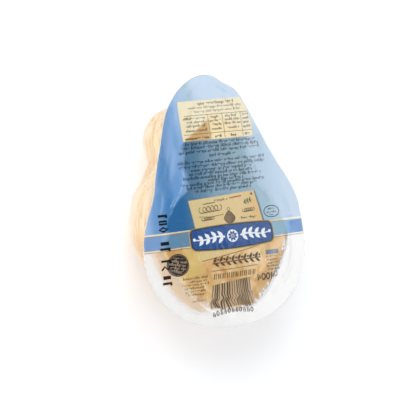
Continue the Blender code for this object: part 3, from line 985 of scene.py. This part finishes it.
def plaque(inset):
    """Outline of the rounded plaque, slightly barrelled, drawn in by inset."""
    x0, x1, r = -20.2 + inset, 27.0 - inset, max(3.1 - inset, 0.4)
    mid, half = 3.4, 23.6
    top = lambda x: 9.05 - inset + 0.9 * (1 - ((x - mid) / half) ** 2)
    low = lambda x: -1.45 + inset - 1.3 * (1 - ((x - mid) / half) ** 2)
    out = []
    for cx, cy, start in ((x1 - r, top(x1 - r) - r, 0.0), (x0 + r, top(x0 + r) - r, 0.5),
                          (x0 + r, low(x0 + r) + r, 1.0), (x1 - r, low(x1 - r) + r, 1.5)):
        for k in range(7):
            a = math.pi * (start + k / 12)
            out.append((cx + r * math.cos(a), cy + r * math.sin(a)))
        if start == 0.0:
            out += [(x, top(x)) for x in np.linspace(x1 - r, x0 + r, 22)[1:-1]]
        if start == 1.0:
            out += [(x, low(x)) for x in np.linspace(x0 + r, x1 - r, 22)[1:-1]]
    return out


def build_print():
    # free of the cheese, and wetted by it; along the tone attributes where a list, which carry painted
    # sheen paler to the right and painted shade darker to the left
    free = [(at, seen(*c, 0.96)) for at, c in (
        (0.0, (84, 136, 188)), (0.30, (114, 158, 205)), (0.48, (151, 182, 217)),
        (0.76, (161, 186, 205)), (1.0, (185, 204, 222)))]
    wet = [(at, seen(*c, 0.94, 0.45)) for at, c in (
        (0.0, (66, 111, 155)), (0.16, (97, 127, 152)), (0.42, (126, 155, 173)),
        (0.70, (140, 166, 181)), (0.90, (160, 185, 200)), (1.0, (174, 196, 212)))]
    blue = ink_material("ink_sky_blue", free, wet, 0.96, wet_alpha=0.94)
    # the band's pale first stop, where the tone is deepest near x = -28, is a painted highlight
    free = [(0.0, seen(150, 184, 210, 0.95)), (0.30, seen(128, 163, 206, 0.95)),
            (0.56, seen(124, 159, 205, 0.95)), (0.90, seen(141, 179, 213, 0.95)),
            (0.955, seen(117, 161, 209, 0.95)), (1.0, seen(92, 140, 196, 0.95))]
    wet = [(0.0, seen(108, 142, 170, 0.92, 0.4)), (1.0, seen(142, 176, 194, 0.92, 0.4))]
    band = ink_material("ink_band_blue", free, wet, 0.95, wet_alpha=0.92)
    free = [(0.0, seen(243, 230, 194, 0.92)), (1.0, seen(234, 224, 196, 0.92))]
    wet = [(0.0, seen(208, 176, 132, 0.88, 0.4)), (0.37, seen(204, 170, 124, 0.88, 0.4)),
           (0.44, seen(243, 219, 177, 0.88, 0.4)), (1.0, seen(233, 214, 178, 0.88, 0.4))]
    cream = ink_material("ink_cream", free, wet, 0.92, wet_alpha=0.88)
    free = [(0.0, seen(222, 204, 160, 0.92)), (1.0, seen(214, 190, 146, 0.92))]
    wet = [(0.0, seen(210, 191, 147, 0.90, 0.4)), (0.62, seen(214, 191, 146, 0.90, 0.4)),
           (0.84, seen(216, 182, 131, 0.90, 0.4))]
    card = ink_material("ink_card_cream", free, wet, 0.92, wet_alpha=0.90)
    yellow = ink_material("ink_yellow_tint", lin(244, 222, 140), lin(236, 214, 132), 0.45)
    slate = ink_material("ink_slate", lin(36, 62, 98), lin(22, 42, 66), 0.90)
    brown = ink_material("ink_brown", lin(92, 68, 42), lin(82, 56, 30), 0.88)
    tan = ink_material("ink_soft_tan", lin(176, 132, 72), lin(164, 116, 58), 0.50)
    grey = ink_material("ink_grey", lin(128, 116, 98), lin(112, 92, 62), 0.80)
    navy = ink_material("ink_navy", seen(38, 88, 144, 0.985), seen(36, 88, 142, 0.985, 0.4),
                        0.985, spread=0.03)
    edge = ink_material("ink_deep_edge", lin(38, 46, 62), lin(34, 40, 54), 0.95)
    light = ink_material("ink_white", lin(236, 240, 243), lin(230, 235, 240), 0.96)
    warm = ink_material("ink_warm_white", lin(240, 236, 224), lin(214, 210, 196), 0.90)
    gold = ink_material("ink_gold", lin(176, 150, 96), lin(160, 134, 82), 0.88)
    green = ink_material("ink_green", lin(62, 104, 70), lin(56, 92, 60), 0.88)
    red = ink_material("ink_red", lin(186, 62, 48), lin(170, 54, 40), 0.88)
    black = ink_material("ink_black", lin(24, 26, 30), lin(22, 24, 28), 0.97)
    shade = ink_material("ink_soft_shadow", lin(70, 84, 96), lin(60, 70, 78), 0.45)

    # fields of colour
    print_mesh("print_blue", [outline_above(9.0)], BLUE_LEVEL, blue, cell=0.75)
    print_mesh("print_band", [
        [(-44.6, 1.15), (-20.6, 1.15), (-20.6, 8.1), (-44.6, 8.1)],
        [(26.6, 1.15), (46.9, 1.5), (46.9, 8.1), (26.6, 8.1)]],
        BLUE_LEVEL, band, cell=0.75)
    print_mesh("print_cream_panel", [
        [(-16.2, 52.9), (-16.5, 60.0), (-16.7, 73.0), (19.0, 73.1), (21.0, 69.2),
         (22.3, 65.2), (23.7, 58.5), (23.5, 52.9), (8.0, 52.8)]],
        PANEL_LEVEL, cream, cell=0.8)
    print_mesh("print_card", [
        [(-16.5, 9.2), (-17.2, 16.0), (-18.1, 23.5), (0.0, 24.3), (19.2, 25.3),
         (20.6, 17.6), (21.9, 9.2), (3.0, 9.2)],
        [(-16.1, -1.2), (-15.5, -6.8), (-8.0, -5.9), (2.0, -4.6), (12.0, -3.2), (21.4, -1.2)]],
        PANEL_LEVEL, card, cell=0.8)
    print_mesh("print_card_shadow", [
        [(19.4, 25.1), (20.2, 24.6), (21.6, 17.8), (22.9, 9.0), (21.9, 9.2), (20.6, 17.6)]],
        PANEL_LEVEL - 0.02, shade, cell=0.8)
    print_mesh("print_flap_shadow", strip(
        [(-15.6, -7.1), (-8.0, -6.3), (2.0, -5.0), (12.0, -3.6), (20.6, -1.8)], 0.5),
        PANEL_LEVEL - 0.02, tan, cell=0.8)
    print_mesh("print_yellow_ribbon", [
        [(-24.0, -14.2), (-15.5, -13.6), (-14.8, -7.0), (-15.6, -1.0), (-24.2, -0.6)]],
        BLUE_LEVEL, yellow, cell=0.8)

    # lines over and under the band
    white = []
    white += strip([(-43.6, 8.75), (-38.0, 8.6), (-32.4, 8.55), (-26.0, 8.7), (-19.6, 8.8)], 0.62)
    white += strip([(26.6, 8.75), (34.0, 8.8), (40.0, 8.9), (46.4, 9.0)], 0.75)
    white += strip([(-44.8, 0.75), (-36.0, 0.7), (-28.0, 0.7), (-20.4, 0.75)], 0.42)
    white += strip([(26.9, 0.85), (34.0, 0.95), (40.0, 1.05), (46.9, 1.1)], 0.55)
    golds = []
    golds += strip([(-43.8, 8.2), (-32.4, 8.0), (-19.8, 8.2)], 0.28)
    golds += strip([(26.8, 8.2), (36.0, 8.25), (46.5, 8.4)], 0.28)
    golds += strip([(-44.8, 0.25), (-32.0, 0.2), (-20.2, 0.25)], 0.30)
    golds += strip([(26.8, 0.35), (36.0, 0.45), (46.8, 0.6)], 0.30)
    golds += strip([(-25.5, 7.6), (-24.5, 5.6), (-24.2, 3.8), (-24.8, 1.6), (-26.2, -0.5)], 0.3)
    golds += strip([(-32.6, 7.4), (-29.6, 8.2), (-26.4, 7.6)], 0.22)
    rim_gold = strip(plaque(0.0), 0.42, closed=True)
    print_mesh("print_white_lines", white, PANEL_LEVEL, warm, cell=1.0)

    # plaque: dark rim, navy field, a rosette and a bold garland to each side
    print_mesh("print_plaque_gold", rim_gold, PLAQUE_LEVEL, gold, cell=0.6)
    print_mesh("print_plaque_rim", strip(plaque(0.50), 0.58, closed=True), PLAQUE_LEVEL,
               edge, cell=0.6)
    print_mesh("print_plaque", [plaque(0.79)], PLAQUE_LEVEL, navy, cell=0.6)
    garland, flower = [], []
    cx, cy = 3.4, 3.7
    garland.append(disc(cx, cy, 3.15, sides=40))
    for k in range(8):
        a = 2 * math.pi * k / 8 + math.pi / 8
        flower.append(leaf(cx + 0.7 * math.cos(a), cy + 0.7 * math.sin(a), 2.1, 1.15, a))
    flower.append(disc(cx, cy, 0.55))
    for side in (-1, 1):
        reach = np.linspace(4.4, 21.0, 34)
        stem = [(cx + side * q, cy + 0.5 * math.sin((q - 4.4) * 0.38)) for q in reach]
        garland += strip(stem, np.linspace(0.95, 0.5, 34))
        for k in range(4):
            q = 5.4 + 3.75 * k
            base_y = cy + 0.5 * math.sin((q - 4.4) * 0.38)
            for up in (-1, 1):
                angle = up * 0.82
                if side < 0:
                    angle = math.pi - angle
                garland.append(leaf(cx + side * q, base_y, 4.3 - 0.25 * k, 1.9, angle))
        garland.append(disc(cx + side * 21.4, cy + 0.2, 0.8))
    print_mesh("print_plaque_ornament", garland, TEXT_LEVEL, light, cell=0.6)
    print_mesh("print_plaque_flower", flower, TEXT_LEVEL + 0.05, navy, cell=0.6)

    # upper panel: rows of dashes and a ruled table
    marks = []
    marks += words(-5.6, 15.2, 70.7, 1.6, 101, letter=0.44, gap=0.36)
    greys = words(-11.0, 18.8, 68.9, 1.15, 102) + words(-8.0, 18.2, 66.9, 1.15, 103)
    rules = strip([(-14.0, 65.6), (4.0, 65.5), (22.2, 65.4)], 0.22)
    rules += strip([(-15.4, 56.1), (4.0, 56.1), (23.7, 55.9)], 0.22)
    for x in (-1.0, 7.2, 17.9):
        rules += strip([(x, 65.8), (x, 59.0), (x, 53.2)], 0.22)
    columns_x = ((-14.6, -1.8), (-0.2, 6.6), (8.0, 17.2), (18.5, 22.8))
    for k, y in enumerate((63.6, 61.7, 59.8, 57.5)):
        for j, (x0, x1) in enumerate(columns_x):
            inset = 0.10 * ((k * 7 + j * 5) % 4) * (x1 - x0) * 0.5
            marks += words(x0 + inset, x1 - 0.5 * inset, y, 1.25, 110 + 7 * k + j)
    for j, (x0, x1) in enumerate(((-14.9, -1.8), (1.6, 5.4), (10.6, 14.4), (19.2, 22.4))):
        marks += words(x0, x1, 53.6, 1.35, 150 + j, letter=0.7)

    # rows of small dashes on the blue
    slates = []
    for k, (y, x0, x1) in enumerate((
            (50.8, -15.5, 23.9), (48.8, -17.9, 26.2), (46.8, -19.5, 26.5),
            (44.4, -3.2, 12.0), (41.6, -20.8, 28.6), (39.5, -20.4, 27.7),
            (37.6, -14.3, 20.5), (35.7, -15.5, 20.9), (33.8, -19.0, 25.4),
            (32.1, -5.8, 14.8), (30.6, -21.0, 27.2), (28.9, -18.0, 22.0),
            (27.0, -13.7, 18.0))):
        slates += words(x0, x1, y, 1.6, 200 + k, letter=0.40, gap=0.30, lean=0.22)

    # card: pen flourishes, a small tied cheese and a small sprig
    browns, greens, reds = [], [], []
    for x0, x1, y, r, turns in ((-14.0, 0.4, 17.6, 1.75, 5), (10.6, 18.4, 15.4, 0.95, 5),
                                (-12.8, -5.0, 13.2, 0.8, 5)):
        u = np.linspace(0, 2 * math.pi * turns, 26 * turns)
        px = x0 + r + (x1 - x0 - 2 * r) * u / u[-1] - 0.8 * r * np.sin(u)
        py = y + r * np.cos(u) * (1 - 0.35 * np.sin(0.5 * u) ** 2) + 0.05 * (px - x0)
        browns += strip(np.stack([px, py], -1), 0.26 + 0.16 * np.cos(u + 0.6) ** 2)
    browns += strip([(-13.6, 14.9), (-7.0, 14.3), (0.0, 14.9)], 0.26)
    browns += words(9.6, 19.6, 11.6, 1.1, 231, letter=0.5)
    px, py = 3.2, 13.1
    pear = []
    for k in range(40):
        a = 2 * math.pi * k / 40
        up = math.sin(a)
        wide = 3.1 - 1.25 * float(smoothstep(-0.1, 0.75, up))
        pear.append((px + wide * math.cos(a) * (1.0 if up < 0.6 else 1.12), py + 3.0 * up))
    pears = [pear]
    browns += strip(pear, 0.34, closed=True)
    browns += strip([(px - 2.2, py + 1.5), (px, py + 1.15), (px + 2.2, py + 1.5)], 0.36)
    browns += strip([(px, py + 3.0), (px - 0.9, py + 4.2), (px, py + 5.2), (px + 0.9, py + 4.2),
                     (px, py + 3.0)], 0.3)
    for k in range(4):
        q = px + 0.7 + 0.5 * k
        browns += strip([(q + 0.25, py - 2.3 + 0.35 * k), (q + 0.35, py - 0.9), (q, py + 0.5)], 0.2)
    print_mesh("print_small_cheese", pears, PLAQUE_LEVEL, ink_material(
        "ink_shaded_tan", lin(138, 120, 88), lin(124, 104, 70), 0.80), cell=0.8)
    greens += strip([(-10.6, 20.9), (-7.0, 21.2), (-3.6, 21.3)], 0.42)
    greens += strip([(12.2, 19.4), (14.4, 20.3), (17.2, 20.7)], 0.3)
    for k in range(3):
        sx, sy = 12.8 + 1.5 * k, 19.7 + 0.36 * k
        greens.append(leaf(sx, sy, 1.9, 0.8, 1.1))
        greens.append(leaf(sx, sy, 1.7, 0.75, -0.75))
    reds += strip([(4.6, 22.6), (8.0, 22.9), (11.6, 23.2)], 0.55)
    browns.append(disc(17.6, 23.6, 0.6, sides=14))
    browns += words(-4.0, 3.4, 21.9, 1.1, 232)
    slates += ring(28.0, 13.6, 4.6, 2.9, 0.42)
    slates += words(26.2, 30.0, 14.5, 0.9, 233)
    slates += words(25.2, 31.0, 12.9, 0.9, 234)
    slates += words(26.6, 29.6, 11.5, 0.9, 235)

    # lower window: band of leaves, rows, bars and a seal
    for k in range(8):
        sx = -9.0 + 3.35 * k
        browns.append(leaf(sx, -8.6, 3.5, 1.5, 0.98))
        browns.append(leaf(sx + 0.3, -8.9, 3.1, 1.25, -0.66))
        browns.append(disc(sx + 2.6, -7.3, 0.55, sides=12))
    browns += strip([(-9.8, -9.0), (3.0, -8.8), (17.6, -8.5)], 0.45)
    browns += strip([(-11.0, -12.6), (2.0, -12.5), (15.2, -12.2)], 0.24)
    for k in range(10):
        sx = -10.2 + 2.45 * k
        greys.append([(sx, -16.8), (sx + 0.55, -16.8), (sx + 0.95, -14.2), (sx + 0.4, -14.2)])
        greys.append([(sx + 1.05, -16.8), (sx + 1.5, -16.8), (sx + 1.9, -14.2),
                      (sx + 1.45, -14.2)])
    for k, (y, x0, x1) in enumerate(((-15.2, -26.4, -13.2), (-16.9, -23.0, -13.4),
                                     (-18.4, -27.0, -12.8), (-20.0, -26.0, -14.6),
                                     (-21.7, -25.6, -14.2), (-23.3, -24.4, -16.0),
                                     (-26.6, -22.6, -15.6))):
        greys += words(x0, x1, y, 1.05, 240 + k, letter=0.46, gap=0.36)
    for k, y in enumerate((-9.4, -11.0, -12.6, -14.2, -15.8)):
        greys += words(20.6 + 0.4 * (k % 3), 28.6 - 0.5 * (k % 2), y, 1.05, 260 + k, letter=0.46, gap=0.36)
    for k in range(4):
        sx = 15.4 + 2.7 * k
        browns += ring(sx, -18.6, 0.95, 1.5, 0.62, sides=20) if k in (1, 2) else [
            rect(sx - 0.85, -20.3, sx - 0.25, -17.0), rect(sx + 0.25, -19.6, sx + 0.8, -17.7)]
    greys += ring(25.9, -17.9, 1.1, 1.3, 0.4, sides=20)
    print_mesh("print_slate_bar", [rect(20.9, -7.9, 28.5, -5.6)], PANEL_LEVEL,
               ink_material("ink_dull_blue", lin(116, 136, 160), lin(104, 120, 140), 0.85),
               cell=0.8)
    # bars that run over a fold near their lower end, on a pale patch
    pale = ink_material("ink_pale_patch", lin(238, 230, 214), lin(216, 191, 158), 0.50)
    print_mesh("print_bar_patch", [
        [(-13.4, -31.4), (11.6, -31.0), (11.2, -25.0), (10.6, -17.7), (-11.4, -19.6),
         (-12.4, -26.0)]], BLUE_LEVEL, pale, cell=0.8)
    bars = []
    rng = np.random.default_rng(77)
    x = -10.9
    while x < 10.2:
        w = float(rng.choice([0.30, 0.36, 0.50, 0.55, 0.80]))
        slip = 0.45 * math.sin(0.9 * x) + 0.25 * rng.uniform(-1, 1)
        foot = -31.5 + 0.7 * math.sin(0.55 * x + 1.0)
        fan = -0.1 + 0.11 * x
        c = x + 0.5 * w
        line = [(c, -18.6 + 0.09 * x), (c + 0.3 * fan, -22.0), (c + 0.7 * fan - 0.3, -24.8),
                (c + fan + 0.5 + slip, -26.4), (c + fan - 1.1 + 0.6 * slip, -28.2),
                (c + 1.4 * fan + 0.3 - slip, foot)]
        bars += strip(line, [w, w, w, 0.95 * w, 1.1 * w, 0.85 * w])
        x += w + float(rng.choice([0.44, 0.60, 0.95]))
    for k in range(11):
        sx = -12.4 + 2.15 * k
        y = -35.2 + 1.1 * math.sin(0.30 * k + 0.1)
        if k % 3 == 1:
            bars += ring(sx + 0.7, y + 1.1, 0.62, 1.0, 0.48, sides=14)
        else:
            bars.append(turned(rect(0.0, 0.0, 0.52, 2.2), -0.2, (sx, y)))
            bars.append(turned(rect(0.85, 0.0, 1.35, 1.5), -0.2, (sx, y)))
    soot = ink_material("ink_bar_brown", lin(84, 66, 52), lin(78, 60, 42), 0.88)
    print_mesh("print_bars", bars, TEXT_LEVEL, soot, cell=0.8)

    # seal at the left
    sx, sy = -28.2, -7.4
    dark = ink_material("ink_seal_brown", lin(52, 38, 30), lin(44, 30, 22), 0.97)
    print_mesh("print_seal", [disc(sx, sy, 5.6, sides=48)], PANEL_LEVEL, dark, cell=1.0)
    seal = ring(sx, sy, 5.05, 5.05, 0.16)
    for k, (across, down) in enumerate(((3.0, 3.2), (4.2, 1.7), (4.5, 0.1), (4.3, -1.5),
                                        (3.2, -3.1))):
        row = words(-across, across, down - 0.5, 1.25, 300 + k, letter=0.55, gap=0.24)
        seal += [turned(shape, -0.22, (sx, sy)) for shape in row]
    faint = ink_material("ink_seal_light", lin(196, 178, 160), lin(172, 150, 126), 0.75)
    print_mesh("print_seal_marks", seal, TEXT_LEVEL, faint, cell=0.8)

    print_mesh("print_gold", golds, PLAQUE_LEVEL, gold, cell=0.8)
    print_mesh("print_brown", marks + browns, TEXT_LEVEL, brown, cell=0.8)
    print_mesh("print_rules", rules, TEXT_LEVEL, brown, cell=0.8)
    print_mesh("print_grey", greys, TEXT_LEVEL, grey)
    print_mesh("print_slate_rows", slates, PANEL_LEVEL, slate)
    print_mesh("print_green", greens, TEXT_LEVEL, green, cell=0.8)
    print_mesh("print_red", reds, TEXT_LEVEL, red, cell=0.8)

    # ink-jet marks on top of the film, in four groups down the left side
    code = []
    half, bold = 2.5, 1.12
    kinds = ("bar", "frame", "diamond", "frame", "bar", "bar", "zigzag", "frame",
             "bar", "bar", "zigzag")
    which = 0
    for top, low, count in ((18.9, 9.6, 3), (4.9, 0.3, 2), (-3.4, -9.3, 2), (-11.8, -16.6, 2)):
        pitch = (top - low + 0.9) / count
        for k in range(count):
            y1 = top - pitch * k
            y0 = y1 - pitch + 0.9
            mid = 0.5 * (y0 + y1)
            cx = -32.8 - 1.9 * (19.3 - mid) / 36.0
            kind = kinds[which % len(kinds)]
            which += 1
            if kind == "bar":
                code.append(rect(cx - half, mid - 0.5 * bold, cx + half, mid + 0.5 * bold))
                code.append(rect(cx + half - bold, mid - 0.5 * bold - 0.6, cx + half,
                                 mid - 0.5 * bold))
            elif kind == "frame":
                h = 0.5 * bold
                code += strip([(cx - half + h, y0 + h), (cx + half - h, y0 + h),
                               (cx + half - h, y1 - h), (cx - half + h, y1 - h)],
                              0.85 * bold, closed=True)
            elif kind == "diamond":
                code += strip([(cx - half + 0.3, mid), (cx, y0 + 0.2), (cx + half - 0.3, mid),
                               (cx, y1 - 0.2)], 0.8 * bold, closed=True)
            else:
                code += strip([(cx - half, y0 + 0.3), (cx - 0.7, y1 - 0.4),
                               (cx + 0.7, y0 + 0.4), (cx + half, y1 - 0.3)], 0.85 * bold)
    print_mesh("jet_marks", code, CODE_LEVEL, black, cell=0.8)


# --------------------------------------------------------------- light and view
def area_light(name, direction, distance, size, radiance, target=(0.0, 0.0, 0.045),
               colour=(1.0, 1.0, 1.0), turn=0.0):
    d = Vector(direction).normalized()
    data = bpy.data.lights.new(name, "AREA")
    data.shape = "RECTANGLE"
    data.size, data.size_y = size
    data.energy = radiance * math.pi * size[0] * size[1]
    data.color = colour
    obj = bpy.data.objects.new(name, data)
    obj.location = Vector(target) + d * distance
    up = Vector((0.0, 1.0, 0.0))
    right = up.cross(d).normalized()
    up = d.cross(right)
    basis = Matrix((right, up, d)).transposed()
    obj.rotation_euler = (basis @ Matrix.Rotation(turn, 3, "Z")).to_euler()
    bpy.context.scene.collection.objects.link(obj)
    return obj


def panel(name, low, high, back, front, radiance):
    """Level panel 1 m over the film, its places given as tangents of the angle
    from upright; its sides run slanted, to the left going away."""
    slant = math.atan(0.45)
    across = (high - low) * math.cos(slant)
    along = (front - back) / math.cos(slant)
    middle_y = 0.5 * (front + back)
    middle_x = 0.5 * (low + high) - 0.45 * middle_y
    data = bpy.data.lights.new(name, "AREA")
    data.shape = "RECTANGLE"
    data.size, data.size_y = across, along
    data.energy = radiance * math.pi * across * along
    obj = bpy.data.objects.new(name, data)
    obj.location = (middle_x, middle_y, FILM_LEVEL * MM + 1.0)
    obj.rotation_euler = (0.0, 0.0, slant)
    bpy.context.scene.collection.objects.link(obj)
    return obj


def build_stage():
    scene = bpy.context.scene
    bm = bmesh.new()
    bmesh.ops.create_grid(bm, x_segments=4, y_segments=4, size=3.0)
    mesh = bpy.data.meshes.new("floor")
    bm.to_mesh(mesh)
    bm.free()
    floor = bpy.data.objects.new("floor", mesh)
    t = Tree("studio_floor")
    grain = t.noise((0.02, 0.02, 0.02), detail=2.0)
    tone = t.mix(grain, (0.75, 0.77, 0.80, 1.0), (0.77, 0.79, 0.82, 1.0))
    shader = t.node("ShaderNodeBsdfPrincipled", {
        "Base Color": tone, "Roughness": 0.75, "Specular IOR Level": 0.1,
        "Emission Color": (1.0, 1.0, 1.0, 1.0), "Emission Strength": 0.31})
    mesh.materials.append(t.finish(shader.outputs[0]))
    scene.collection.objects.link(floor)

    world = bpy.data.worlds.new("studio")
    world.use_nodes = True
    sky = world.node_tree.nodes["Background"]
    sky.inputs["Color"].default_value = (0.97, 0.985, 1.0, 1.0)
    sky.inputs["Strength"].default_value = 0.45
    scene.world = world

    area_light("key", (-0.34, 0.42, 0.84), 1.1, (0.55, 0.55), 6.3)
    # a softbox that fades in from its left side: four panels side by side
    for name, low, high, radiance in (
            ("softbox_a", 0.455, 0.49, 0.5), ("softbox_b", 0.49, 0.525, 0.9),
            ("softbox_c", 0.525, 0.56, 1.3), ("softbox_d", 0.56, 1.05, 1.7),
            ("softbox_e", 1.05, 1.90, 2.0)):
        panel(name, low, high, -0.25, 0.45, radiance)
    area_light("left_fill", (-0.93, -0.10, 0.36), 1.2, (0.5, 0.8), 3.0)

    area_light("low_fill", (-0.60, -0.72, 0.34), 1.2, (0.7, 0.6), 1.0)

    c = Vector((-0.45, -0.03, 0.8925)).normalized()
    up = (Vector((0.0, 1.0, 0.0)) - c * c.y).normalized()
    right = up.cross(c)
    roll = math.radians(7.5)
    r2 = right * math.cos(roll) - up * math.sin(roll)
    u2 = right * math.sin(roll) + up * math.cos(roll)
    data = bpy.data.cameras.new("camera")
    data.lens = 162.0
    data.sensor_width = 36.0
    data.sensor_fit = "HORIZONTAL"
    data.clip_start = 0.05
    data.clip_end = 20.0
    camera = bpy.data.objects.new("camera", data)
    camera.rotation_euler = Matrix((r2, u2, c)).transposed().to_euler()
    target = Vector((-MIDDLE_X, -MIDDLE_Y, FILM_LEVEL)) * MM
    camera.location = target + c * 0.9 - r2 * 0.013 + u2 * 0.022
    scene.collection.objects.link(camera)
    scene.camera = camera
    scene.view_settings.view_transform = "Standard"
    scene.view_settings.look = "None"
    scene.cycles.transparent_max_bounces = 32


# ------------------------------------------------------------------------ all
build_cheese(cheese_material())
build_back(film_material("clear_formed_film", 0.14, 1.15, 1.0, (0.86, 0.86, 0.855, 1.0), 0.18))
build_front(film_material("clear_front_film", 0.14, 1.8, 0.8, (0.91, 0.90, 0.89, 1.0), 0.10))
build_print()
build_stage()
